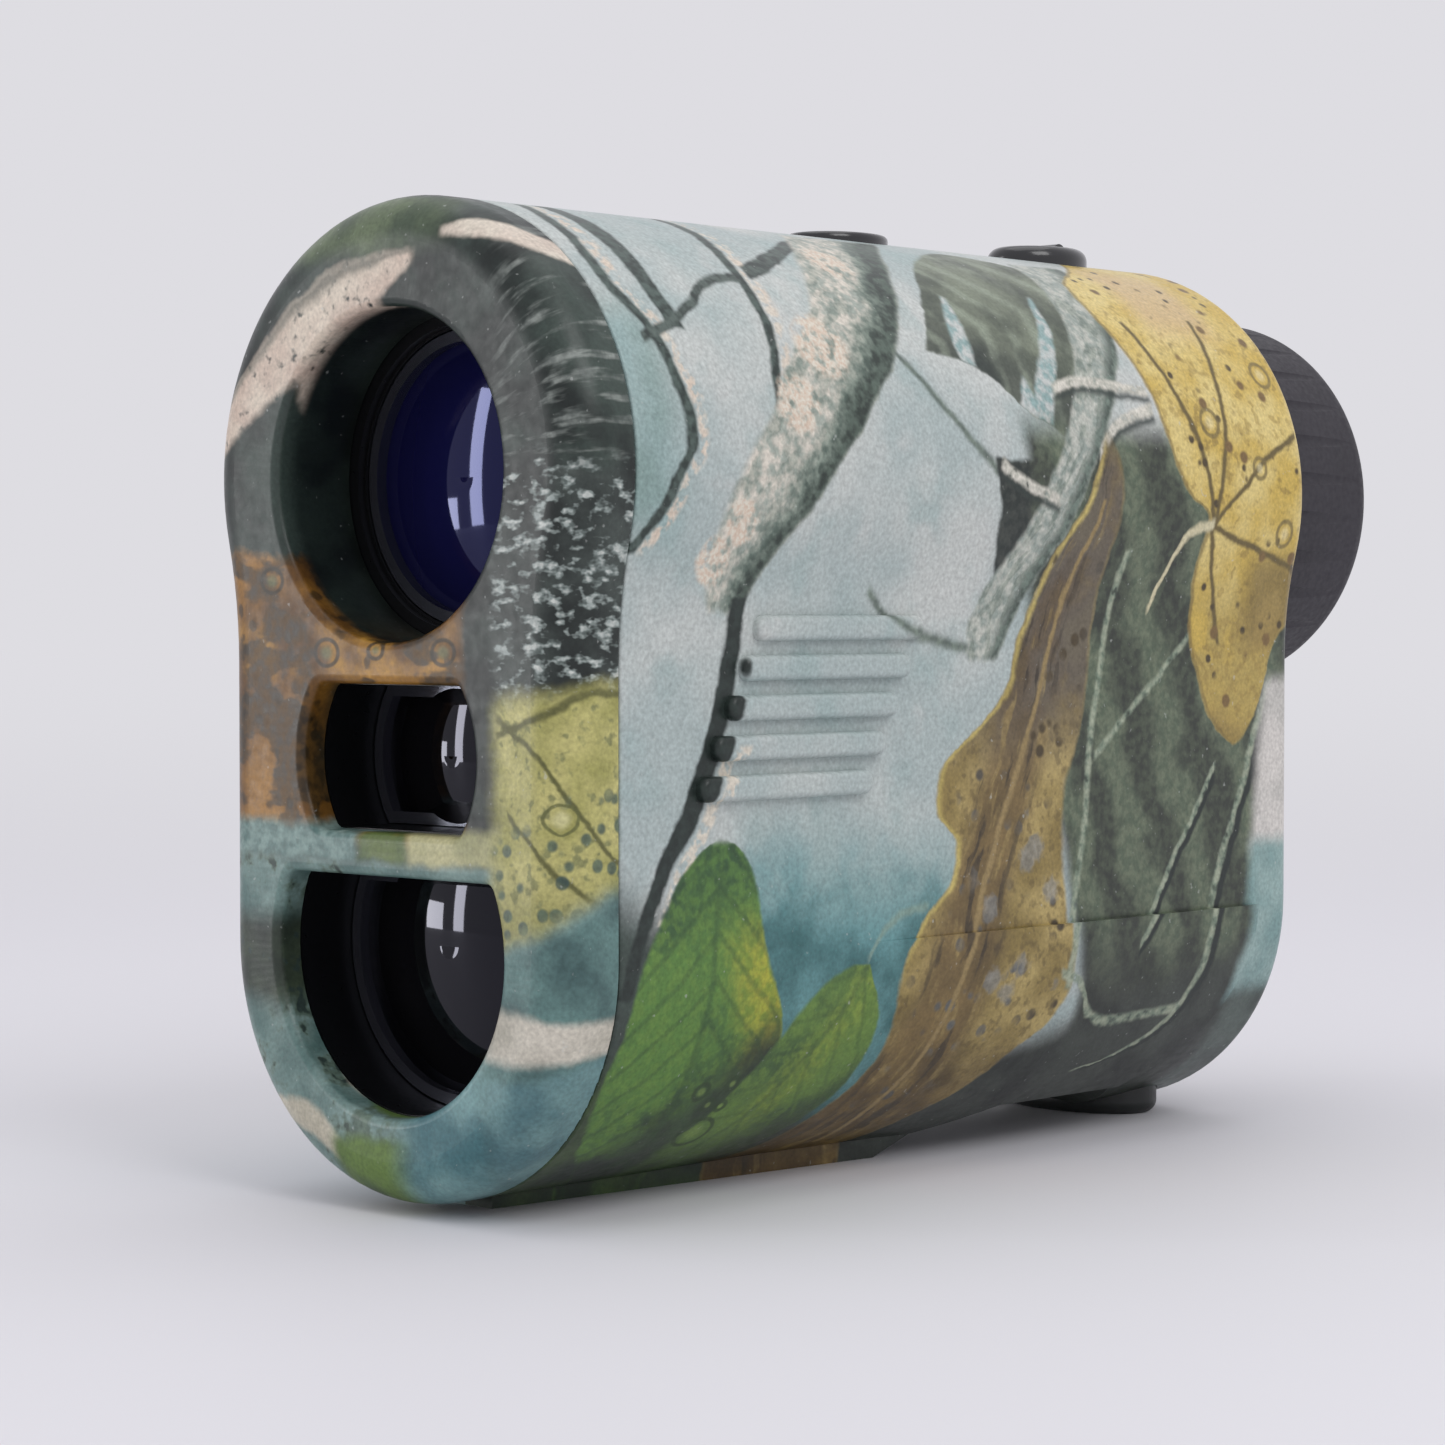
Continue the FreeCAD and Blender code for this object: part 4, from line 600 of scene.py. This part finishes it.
def maple_leaf(g):
    """Yellow maple leaf at the rear."""
    u, v = g.wu, g.wv
    left = [(33.0, 81.5), (35, 78.5), (39, 76.2), (44, 74.4), (50, 74.6), (52.5, 75.0), (55, 71.8),
            (60, 69.4), (66, 68.0),
            (72, 66.4), (76, 67.0), (79, 71.0), (84, 76)]
    inside = g.ramp(u - g.curve(v, left), -0.4, 0.4) * g.ramp(v, 32.8, 33.8) * g.ramp(v, 87.0, 82.0)
    lower = g.curve(u, [(76, 34.5), (79, 33.0), (82, 33.6), (84.5, 36.2), (86, 40.0), (88, 43.0),
                        (90, 44.0)])
    inside = inside * g.ramp(v - lower, -0.4, 0.4)
    g.over(inside, g.mottle(MAPLE, MAPLE_LIGHT))
    g.over(inside * g.ramp(v, 50.0, 42.0) * g.ramp(g.cloud, 0.30, 0.60) * 0.9,
           g.mottle(tone(122, 106, 58), tone(178, 154, 80)))
    g.over(inside * g.ramp(g.fleck + (g.drift - 0.5) * 0.6, 0.56, 0.70) * 0.55,
           g.mottle(tone(134, 112, 62), tone(164, 140, 76)))
    g.over(inside * g.within(v, 41.5, 49.5, 1.6) * g.ramp(u, 80.0, 84.5) * 0.85,
           g.mottle(MAPLE_SHADE, tone(146, 124, 72)))
    g.over(inside * g.ramp(v + (u - 80) * 0.4, 38.0, 34.0) * 0.7, g.mottle(MAPLE_SHADE, tone(150, 126, 70)))
    g.over(inside * g.within(v, 70, 80, 2.5) * g.within(u, 73, 83, 2.0) * 0.55,
           g.mottle(tone(204, 178, 150), tone(190, 160, 132)))
    rim, _ = g.strip(v, u, left, 0.3, 0.3)
    g.over(inside * rim, MAPLE_SHADE)
    for along, across, centre in (
        (g.wv, g.wu, [(52, 75.8), (58, 74.2), (64, 72.0), (71, 70.0)]),
        (g.wv, g.wu, [(52, 75.8), (58, 77.2), (64, 78.8), (72, 80.4)]),
        (g.wu, g.wv, [(75.6, 52.2), (79, 54.8), (83, 57.8), (88.5, 60.4)]),
        (g.wu, g.wv, [(75.6, 52.2), (80, 50.8), (84, 49.8), (89, 48.4)]),
        (g.wv, g.wu, [(42, 79.2), (46, 77.6), (52.3, 75.4)]),
    ):
        mask, _ = g.strip(along, across, centre, 0.3, 0.22)
        g.over(inside * mask, tone(104, 90, 52))
    dots = g.ramp(g.cells(1.7), 0.30, 0.14) * g.ramp(g.noise(4.0, 1.0, shift=4.0), 0.48, 0.60)
    g.over(inside * dots, SPOT)
    dots = g.ramp(g.cells(3.4), 0.22, 0.12)
    g.over(inside * dots, tone(120, 96, 58))
    for centre, radius in (((86.0, 66.0), 1.2), ((75.8, 61.0), 1.2), ((86.2, 51.6), 1.1),
                           ((82.2, 57.2), 0.9)):
        rim, middle = g.ring(centre, radius)
        g.over(rim * 0.8, tone(116, 102, 62))
        g.over(middle * 0.5, tone(226, 214, 168))
    mask, _ = g.strip(g.wu, g.wv, [(68.3, 45.0), (70.2, 48.6), (72.5, 51.4), (75.8, 52.4)], 0.42)
    g.over(mask, tone(202, 194, 160))


def front_leaf(g):
    """Broad green leaf low at the front."""
    u, v = g.wu, g.wv
    left = [(-6, 14.0), (-2, 11.0), (2, 8.4), (6, 6.8), (10, 6.2), (14, 6.6), (18, 7.6), (22, 9.6),
            (25, 11.8), (27, 13.8), (28, 15.6)]
    right = [(-6, 20.0), (2, 22.6), (7, 23.8), (11, 24.2), (14, 23.6), (18, 21.8), (22, 20.6), (25, 19.8),
             (27, 18.6), (28, 17.0)]
    mask = g.ramp(u - g.curve(v, left), -0.3, 0.3) * g.ramp(g.curve(v, right) - u, -0.3, 0.3)
    mask = mask * g.ramp(v, 28.2, 27.4)
    along, across = g.frame_of((15.0, 6.0), 86)
    g.over(mask, g.mottle(tone(54, 84, 52), tone(86, 124, 58), g.cloud, 0.30, 0.55))
    g.over(mask * g.ramp(g.fleck, 0.42, 0.62) * 0.6, tone(102, 136, 62))
    glow = g.ramp(u + (v - 14) * 0.25 + (g.cloud - 0.5) * 5, 17.0, 22.5) * g.within(v, 5, 21, 3)
    g.over(mask * glow, g.mottle(tone(128, 144, 52), tone(166, 166, 60), g.fleck))
    g.over(mask * g.ramp(v - (u - 15) * 0.2, 21.0, 25.5) * 0.8,
           g.mottle(tone(48, 78, 50), tone(76, 112, 56), g.fleck))
    # painted shade: darker low on the leaf, where it turns under the body
    g.over(mask * g.ramp(v + (16 - u) * 0.9 + (g.cloud - 0.5) * 6, 11.0, 4.0),
           g.mottle(tone(40, 50, 42), tone(60, 82, 54)))
    g.over(mask * g.veins(along, across, 3.4, 0.9, 0.22, 0.3) * 0.35, tone(44, 70, 44))
    stem, _ = g.strip(along, across, [(-2, 0), (10, 0.5), (20, 0)], 0.3, 0.3)
    g.over(mask * stem * 0.5, tone(50, 78, 46))


def leaning_leaf(g):
    """Green leaf that leans back beside it, with its stalk."""
    u, v = g.wu, g.wv
    along, across = g.frame_of((23.0, 4.0), 54)
    mask = g.leaf(along, across, [(-10, 3.0), (-1, 3.8), (4, 4.4), (9, 4.4), (13, 3.6), (15.6, 2.0),
                                  (17, 0)],
                  [(-10, 5.0), (-4, 7.0), (3, 8.2), (8, 8.0), (12, 6.4), (15.4, 3.6), (17, 0)])
    mask = mask * g.ramp(u, 17.0, 20.0)
    g.over(mask, g.mottle(tone(62, 90, 52), tone(96, 128, 60), g.cloud, 0.3, 0.6))
    g.over(mask * g.ramp(g.fleck, 0.42, 0.62) * 0.5, tone(108, 138, 66))
    g.over(mask * g.ramp(abs(across + 1.0), 3.0, 0.4) * g.ramp(along, -2.0, 4.0) * 0.7,
           g.mottle(tone(104, 132, 56), tone(132, 152, 62), g.fleck))
    g.over(mask * g.ramp(across + along * 0.1, -4.0, -6.4) * 0.8, tone(52, 76, 50))
    # painted shade: darker where the leaf runs onto the underside
    g.over(mask * g.ramp(v + (g.cloud - 0.5) * 6, 5.0, -2.0) * 0.85,
           g.mottle(tone(48, 60, 44), tone(66, 88, 52)))
    g.over(mask * g.veins(along, across, 3.6, 0.9, 0.2, 0.3) * 0.3, tone(52, 78, 46))
    stem, _ = g.strip(along, across, [(-4, -0.8), (8, -0.2), (17, 0)], 0.28, 0.3)
    g.over(mask * stem * 0.5, tone(62, 88, 50))
    stalk, _ = g.strip(g.wu, g.wv, [(32.6, 18.0), (34.0, 20.0), (36.5, 21.4), (40.0, 21.8)], 0.35, 0.3)
    g.over(stalk * 0.8, tone(128, 152, 140))


def leaf_drops(g):
    """Water drops on the green leaves."""
    for centre, radius in (((19.8, 3.6), 1.7), ((17.4, 8.4), 0.75), ((20.6, 8.8), 0.6), ((19.0, 6.9), 0.55),
                           ((20.6, 6.6), 0.5)):
        rim, middle = g.ring(centre, radius)
        g.over(rim * 0.8, tone(46, 66, 38))
        g.over(middle * 0.5, tone(134, 160, 84))


def right_film():
    g = Film("camouflage_right")
    g.settle()
    for paint in (pale_ground, front_shade, thin_branches, trunk, twigs, leaf_cluster, olive_leaf,
                  pale_branch, low_shade, ochre_leaf, pale_veins, rear_corner, maple_leaf, front_leaf,
                  leaning_leaf, leaf_drops):
        paint(g)
    return g.finish()


def left_film():
    """The side away from the camera: the same kinds of leaf and branch in another arrangement."""
    g = Film("camouflage_left")
    g.settle()
    u, v = g.wu, g.wv
    g.ground(g.mottle(MIST, PALE, g.drift, 0.40, 0.60))
    g.over(g.ramp(g.cloud, 0.5, 0.72) * 0.6, tone(150, 170, 168))
    g.over(g.ramp(v, 34.0, 22.0) * g.ramp(u, 58.0, 46.0), g.mottle(TEAL, TEAL_LIGHT))
    rear = g.ramp(u + (v - 40) * 0.3, 50.0, 53.0)
    fold = g.math("SINE", (g.wu * 0.8 - g.wv * 0.5) * 1.1 + (g.cloud - 0.5) * 3.0)
    g.over(rear, g.mix(g.ramp(fold, -0.4, 1.0) * 0.75, g.mottle(OLIVE_DARK, OLIVE),
                       g.mottle(MOSS, OLIVE_LIGHT)))
    mask, side = g.strip(v, u, [(-6, 62.0), (10, 52.0), (25, 42.0), (40, 34.0), (55, 27.0), (70, 17.0),
                                (84, 12.0)],
                         [(-6, 4.0), (25, 4.6), (55, 3.8), (84, 3.0)], 0.4)
    tilt = side + (g.cloud - 0.5) * 1.3
    g.over(mask, g.mottle(tone(186, 188, 178), CREAM, g.fleck))
    g.over(mask * g.ramp(tilt, -0.3, 0.3), g.mottle(tone(128, 144, 136), tone(168, 178, 170), g.fleck))
    g.over(mask * g.ramp(tilt, 0.3, 0.75), g.mottle(tone(50, 62, 56), tone(86, 100, 92), g.fleck))
    for along, across, centre, width in (
        (g.wu, g.wv, [(30, 52.0), (40, 58.0), (52, 61.0), (66, 68.0), (80, 71.0)], 0.6),
        (g.wv, g.wu, [(28, 22.0), (40, 18.0), (52, 19.0), (64, 14.0), (80, 8.0)], 0.5),
        (g.wu, g.wv, [(44, 60.0), (50, 70.0), (56, 80.0)], 0.45),
    ):
        mask, _ = g.strip(along, across, centre, width)
        g.over(mask, g.mottle(BLACK_GREEN, tone(78, 92, 86), g.fleck))
    for origin, angle, size, light, dark, edge in (
        ((70, 18), 62, 1.25, MAPLE_LIGHT, MAPLE, MAPLE_SHADE),
        ((60, 74), -28, 1.15, OCHRE_LIGHT, OCHRE, BROWN),
        ((14, 30), 98, 0.95, LEAF_LIGHT, LEAF, LEAF_DARK),
        ((36, 4), 28, 1.05, LEAF, tone(66, 96, 52), LEAF_DARK),
    ):
        along, across = g.frame_of(origin, angle)
        along = along / size
        across = across / size
        lobes = g.math("SINE", along * 1.35) * 0.9
        mask = g.leaf(along, across + lobes * 0.5, [(-2, 0), (3, 5.0), (10, 7.5), (18, 5.0), (24, 0)],
                      [(-2, 0), (3, 4.6), (10, 7.0), (18, 5.4), (24, 0)])
        g.over(mask, g.mottle(dark, light))
        g.over(mask * g.veins(along, across, 3.3, 0.8, 0.26) * 0.5, edge)
        stem, _ = g.strip(along, across, [(-4, 0), (10, 0.4), (24, 0)], 0.25, 0.2)
        g.over(stem, edge)
        dots = g.ramp(g.cells(1.9), 0.28, 0.14) * g.ramp(g.drift, 0.45, 0.6)
        g.over(mask * dots, SPOT)
    return g.finish()


def bezel_bark(g):
    """Dark bark ground with moss and two cream patches."""
    s, t = g.s, g.t
    g.ground(g.mottle(tone(24, 31, 29), tone(58, 70, 64)))
    fibre = g.noise(1.0, 3.0, g.vector(g.depth * 0.16, g.v, g.x * 0.3), shift=1.0)
    g.over(g.ramp(fibre, 0.5, 0.68) * g.ramp(s, 10.0, 15.0) * 0.8,
           g.mottle(tone(104, 110, 106), tone(150, 156, 150), g.fleck))
    moss = g.within(t, 71.5, 78, 1.2) * g.within(s, -12, 6, 2.5)
    g.over(moss, g.mottle(tone(60, 74, 58), tone(98, 112, 84)))
    mask, side = g.strip(s, t, [(-21, 58.5), (-18, 59.6), (-13, 63.4), (-8, 66.4), (-2, 69.0), (3, 71.0)],
                         [(-21, 1.6), (-16, 2.2), (-8, 2.8), (0, 1.6), (3, 0.4)], 0.5)
    g.over(mask * g.ramp(g.fleck, 0.25, 0.45), g.mottle(tone(196, 176, 160), tone(214, 202, 184)))
    g.over(mask * g.ramp(side + (g.cloud - 0.5), 0.4, 0.9), tone(126, 122, 110))
    mask, _ = g.strip(s, t, [(6, 72.6), (10, 73.6), (16, 74.4), (22, 75.6)],
                      [(6, 0.4), (10, 1.2), (18, 1.4), (22, 1.4)], 0.4)
    g.over(mask, g.mottle(tone(200, 186, 172), tone(214, 206, 190)))


def bezel_flecks(g):
    """Black and white flecks on the right."""
    s, t = g.s, g.t
    spray = g.within(t + (g.cloud - 0.5) * 4, 38.5, 55.5, 1.4) * g.ramp(s, 10.8, 12.4)
    g.over(spray, g.mottle(tone(30, 36, 34), tone(64, 72, 68)))
    chips = g.noise(1.5, 2.0, g.vector(g.depth + g.x, g.z * 2.0, 0.0), shift=3.7)
    g.over(spray * g.ramp(chips, 0.50, 0.60), g.mottle(tone(96, 106, 102), tone(140, 150, 146), g.fleck))
    g.over(spray * g.ramp(chips, 0.58, 0.66), g.mottle(tone(150, 160, 156), tone(196, 200, 194), g.fleck))


def bezel_ochre(g):
    """Ochre leaf with dark blots and drops, beside the middle window."""
    s, t = g.s, g.t
    upper = t + (s + 8) * 0.12 + (g.drift - 0.5) * 6 + (g.fleck - 0.5) * 1.5
    ochre = g.ramp(t, 27.0, 28.2) * g.ramp(upper, 48.2, 46.8) * g.ramp(s + (g.cloud - 0.5) * 3, 8.6, 7.2)
    g.over(ochre, g.mottle(tone(92, 62, 26), tone(152, 108, 42)))
    g.over(ochre * g.within(t, 40.2, 44.0, 1.0) * g.ramp(g.cloud, 0.35, 0.6) * 0.8,
           g.mottle(tone(168, 124, 50), tone(196, 150, 66), g.fleck))
    blot = g.noise(2.6, 3.0, g.vector(g.x * 0.5, g.z, g.depth), shift=4.2)
    g.over(ochre * g.ramp(blot, 0.48, 0.55) * 0.9, g.mottle(tone(40, 34, 22), tone(84, 62, 30), g.fleck))
    g.over(ochre * g.ramp(g.cells(2.4) + (g.fleck - 0.5) * 0.4, 0.26, 0.14) * 0.7, tone(48, 40, 26))
    for centre, radius in (((-6.5, 41.8), 1.3), ((6.4, 41.9), 1.2), ((-12.8, 47.2), 1.2),
                           ((-1.0, 42.0), 0.8)):
        rim, middle = g.ring(centre, radius, g.x, g.z, 1.3)
        g.over(rim * 0.85, tone(42, 36, 22))
        g.over(middle * 0.7, tone(104, 112, 80))


def bezel_teal(g):
    """Teal, green and beige bands on and below the divider."""
    s, t = g.s, g.t
    band = g.within(t, 26.2, 29.0, 0.6)
    g.over(band * g.ramp(s, -2.5, -4.0), g.mottle(tone(84, 112, 108), tone(128, 152, 146), g.fleck))
    g.over(band * g.within(s, -3.2, 2.5, 0.8), g.mottle(tone(66, 88, 48), tone(98, 114, 62)))
    g.over(band * g.ramp(s, 1.8, 3.2), g.mottle(tone(150, 150, 108), tone(184, 180, 136)))
    low = g.ramp(t, 26.8, 25.6)
    g.over(low, g.mottle(tone(84, 112, 108), tone(128, 152, 146)))
    g.over(low * g.ramp(g.cloud + (g.fleck - 0.5) * 0.5, 0.50, 0.62) * g.ramp(s, 4.0, 0.0) * 0.8,
           g.mottle(tone(60, 78, 66), tone(92, 110, 92), g.fleck))
    dark = g.within(t + (g.drift - 0.5) * 10, 13.5, 21, 1.5) * g.ramp(s, -10.0, -12.5)
    g.over(dark * low, g.mottle(tone(34, 42, 38), tone(66, 78, 62)))
    g.over(low * g.ramp(g.fleck + (g.cloud - 0.5), 0.60, 0.72) * g.ramp(s, -2.0, -5.0), tone(52, 66, 62))
    mask, _ = g.strip(s, t, [(-17, 6.0), (-10, 6.6), (-7, 5.6), (-4, 3.6)],
                      [(-17, 0.6), (-10, 1.3), (-4, 1.0)], 0.5)
    g.over(mask, g.mottle(tone(176, 170, 152), tone(200, 194, 176)))
    g.over(g.ramp(t, 6.4, 5.2) * g.within(s, -6, 3, 1.0), g.mottle(tone(60, 84, 44), tone(96, 122, 58)))
    g.over(low * g.ramp(s, 0.0, 4.0) * g.ramp(t, 13.5, 10.5),
           g.mottle(tone(66, 108, 114), tone(118, 154, 154)))


def bezel_leaf(g):
    """Yellow-green leaf on the right with veins, dark spots and a drop."""
    s, t = g.s, g.t
    leaf = g.ramp(s, 10.5, 13.0) * g.ramp(t - (s - 12) * 0.35, 19.5, 22.0)
    leaf = leaf * g.ramp(t - (s - 12) * 0.1, 39.5, 37.5)
    g.over(leaf, g.mottle(tone(150, 148, 84), tone(188, 182, 118)))
    g.over(leaf * g.ramp(g.fleck + (g.cloud - 0.5) * 0.8, 0.56, 0.70) * 0.7, tone(106, 112, 76))
    g.over(leaf * g.ramp(t, 27.0, 21.0) * g.ramp(g.cloud, 0.4, 0.6),
           g.mottle(tone(104, 108, 66), tone(136, 134, 82)))
    for centre in ([(12, 37.5), (16, 34.8), (20, 31.0), (25, 26.0)],
                   [(12, 36.0), (16, 37.4), (20, 38.6), (25, 39.0)],
                   [(13, 30.5), (18, 26.5), (25, 22.5)]):
        mask, _ = g.strip(s, t, centre, 0.28, 0.2)
        g.over(leaf * mask, tone(98, 98, 56))
    spots = g.ramp(g.cells(1.5), 0.42, 0.26) * g.ramp(t - (s - 12) * 0.35, 30.0, 27.0)
    g.over(leaf * spots * 0.85, g.mottle(tone(52, 76, 74), tone(84, 104, 88), g.fleck))
    rim, middle = g.ring((18.6, 30.3), 1.7, s, t, 1.7)
    g.over(rim * 0.8, tone(92, 96, 54))
    g.over(middle * 0.6, tone(214, 210, 160))
    band = g.ramp(s, 9.5, 12.0) * g.ramp(t - (s - 12) * 0.35, 21.0, 19.0)
    g.over(band, g.mottle(tone(58, 84, 84), tone(96, 128, 124)))
    g.over(band * g.within(t - (s - 12) * -0.12, 12.6, 16.0, 0.6),
           g.mottle(tone(168, 164, 150), tone(206, 200, 186)))
    g.over(band * g.ramp(t, 11.6, 10.4), g.mottle(tone(76, 112, 118), tone(112, 146, 146)))


def window_shade(g):
    """Dark inside the windows."""
    inner = g.ramp(g.depth, 0.8, 2.4) * g.ramp(g.reach, 16.0, 14.5)
    g.over(inner * g.ramp(g.z, 24.0, 46.0), g.mottle(tone(18, 24, 22), tone(36, 46, 41)))


def bezel_film():
    """Its s and t run across and up the front face and carry on round the rim."""
    g = Film("camouflage_bezel")
    g.settle(0.7, 5.0, 0.4)
    wrap = g.depth / g.highest(g.reach, 1.0)
    g.s = g.x + g.x * wrap + (g.cloud - 0.5) * 1.6 + (g.fleck - 0.5) * 0.5
    g.t = g.z + g.rise * wrap
    g.t = g.t + (g.noise(4.5, 2.0, shift=6.6) - 0.5) * 1.6
    g.t = g.t + (g.noise(0.9, 1.0, shift=2.2) - 0.5) * 0.5
    for paint in (bezel_bark, bezel_flecks, bezel_ochre, bezel_teal, bezel_leaf, window_shade):
        paint(g)
    return g.finish()


# ---------------------------------------------------------------- other finishes
def plain(name, base, rough, metallic=0.0, variation=0.12, grain=0.5, bump=0.1, coat=0.0, specular=0.5):
    """A moulded or machined finish: slight colour drift, grain and roughness change."""
    g = Graph(name)
    drift = g.noise(6.0, 3.0, shift=2.0)
    fine = g.noise(grain, 2.0, shift=4.0)
    colour = g.shade(base, g.line(drift, 0.3, 0.7, 1 - variation, 1 + variation))
    g.set(Base_Color=colour, Roughness=g.line(fine, 0.3, 0.7, rough * 0.85, min(1.0, rough * 1.2)))
    g.set(Metallic=metallic, Coat_Weight=coat, Coat_Roughness=0.12, Specular_IOR_Level=specular)
    g.bump(fine, bump, 0.05)
    return g.material


def glass(name, base, rough=0.02, tint=None, specular=0.35):
    """Dark coated glass: opaque body colour with a clear reflective face."""
    g = Graph(name)
    smudge = g.noise(7.0, 3.0, shift=1.0)
    g.set(Base_Color=base, Roughness=g.line(smudge, 0.3, 0.7, rough, rough + 0.02))
    g.set(Specular_IOR_Level=specular)
    if tint:
        g.set(Specular_Tint=tint)
    return g.material


FILMS = {"camo_bezel": bezel_film, "camo_right": right_film, "camo_left": left_film}

GLASSES = {
    "coated_objective": dict(base=tone(16, 16, 58), tint=tone(170, 180, 255)),
    "coated_window": dict(base=tone(7, 7, 9), tint=tone(230, 230, 255), specular=0.3),
    "optical_glass": dict(base=tone(24, 26, 40)),
    "eyepiece_glass": dict(base=tone(18, 24, 36), tint=tone(150, 200, 220)),
    "display_glass": dict(base=tone(30, 34, 34)),
}

MOULDED_OR_MACHINED = {
    "foot_rubber": dict(base=tone(34, 37, 36), rough=0.42, bump=0.12),
    "seal_rubber": dict(base=tone(24, 24, 24), rough=0.6),
    "screw_steel": dict(base=tone(150, 150, 150), rough=0.3, metallic=1.0),
    "inner_plastic": dict(base=tone(28, 28, 29), rough=0.5),
    "cell_black": dict(base=tone(12, 13, 15), rough=0.32, bump=0.02, specular=0.3),
    "ring_metal": dict(base=tone(104, 106, 116), rough=0.22, metallic=0.9, bump=0.02),
    "flex_film": dict(base=tone(170, 110, 40), rough=0.4),
    "barrel_metal": dict(base=tone(40, 40, 44), rough=0.35, metallic=0.8),
    "pin_steel": dict(base=tone(160, 160, 160), rough=0.25, metallic=1.0),
    "grip_rubber": dict(base=tone(40, 37, 44), rough=0.55, bump=0.2),
    "eyecup_rubber": dict(base=tone(30, 29, 32), rough=0.6, bump=0.2),
    "button_plastic": dict(base=tone(20, 21, 24), rough=0.22, coat=0.5),
    "board_green": dict(base=tone(20, 80, 50), rough=0.4, coat=0.3),
    "chip_black": dict(base=tone(26, 26, 28), rough=0.45),
    "diode_metal": dict(base=tone(190, 160, 90), rough=0.3, metallic=1.0),
    "battery_can": dict(base=tone(60, 90, 140), rough=0.35, metallic=0.4),
    "cap_plastic": dict(base=tone(36, 38, 37), rough=0.5, bump=0.2),
    "contact_brass": dict(base=tone(200, 165, 90), rough=0.3, metallic=1.0),
}


def finish_for(slot):
    """Makes the material of a CAD material slot."""
    if slot in FILMS:
        return FILMS[slot]()
    if slot in GLASSES:
        return glass(slot, **GLASSES[slot])
    return plain(slot, **MOULDED_OR_MACHINED[slot])


finished = {}
for part in frame["record"]["subparts"]:
    slot = part["material_slot"]
    if slot not in finished:
        finished[slot] = finish_for(slot)
    mesh = frame["nodes"][part["node"]].data
    mesh.materials.clear()
    mesh.materials.append(finished[slot])


# ---------------------------------------------------------------- stage, light and camera
FLOOR_SIZE = 12.0        # metres


def floor():
    """Diffuse near the object, and the colour of the backdrop far away, so that no horizon shows."""
    bpy.ops.mesh.primitive_plane_add(size=FLOOR_SIZE)
    plane = bpy.context.object
    plane.name = "studio_floor"
    g = Graph("studio_floor")
    near = g.math("SQRT", g.x * g.x + g.y * g.y)
    g.set(Base_Color=tone(222, 221, 225), Roughness=0.6, Specular_IOR_Level=0.1)
    glow = g.node("ShaderNodeEmission")
    glow.inputs["Color"].default_value = tone(222, 221, 226)
    join = g.node("ShaderNodeMixShader")
    g.put(join.inputs[0], g.ramp(1000.0 / g.highest(near, 100.0), 4.5, 0.3))
    g.tree.links.new(g.shader.outputs["BSDF"], join.inputs[1])
    g.tree.links.new(glow.outputs[0], join.inputs[2])
    g.tree.links.new(join.outputs[0], g.output.inputs["Surface"])
    plane.data.materials.append(g.material)


def softbox(name, place, aim, size, power):
    """A rectangular light at a place in metres, turned to face the aim, with its power in watts."""
    data = bpy.data.lights.new(name, "AREA")
    data.shape = "RECTANGLE"
    data.size = size[0]
    data.size_y = size[1]
    data.energy = power
    lamp = bpy.data.objects.new(name, data)
    bpy.context.scene.collection.objects.link(lamp)
    lamp.location = place
    direction = [a - b for a, b in zip(aim, place)]
    lamp.rotation_euler = Vector(direction).to_track_quat("-Z", "Y").to_euler()


def studio():
    """An even pale backdrop and four soft lights; the two front ones also show in the lenses."""
    world = bpy.data.worlds.new("studio")
    bpy.context.scene.world = world
    world.use_nodes = True
    background = world.node_tree.nodes["Background"]
    background.inputs["Color"].default_value = tone(226, 225, 230)
    background.inputs["Strength"].default_value = 0.96
    centre = (0.0, 0.0, 0.04)
    softbox("key", (0.50, -0.10, 0.50), centre, (0.35, 0.35), 1.2)
    softbox("top", (-0.05, 0.05, 0.75), centre, (0.6, 0.6), 1.0)
    softbox("front", (-0.36, -0.42, 0.10), centre, (0.035, 0.22), 0.32)
    softbox("front_low", (-0.42, -0.36, 0.02), centre, (0.06, 0.05), 0.12)


def view():
    """The camera, at the viewing angle named above."""
    data = bpy.data.cameras.new("camera")
    data.lens = CAMERA_LENS
    data.sensor_width = SENSOR
    camera = bpy.data.objects.new("camera", data)
    bpy.context.scene.collection.objects.link(camera)
    camera.location = CAMERA_PLACE
    camera.rotation_euler = (CAMERA_TILT, 0.0, CAMERA_TURN)
    bpy.context.scene.camera = camera


floor()
studio()
view()
bpy.context.scene.view_settings.view_transform = "Standard"
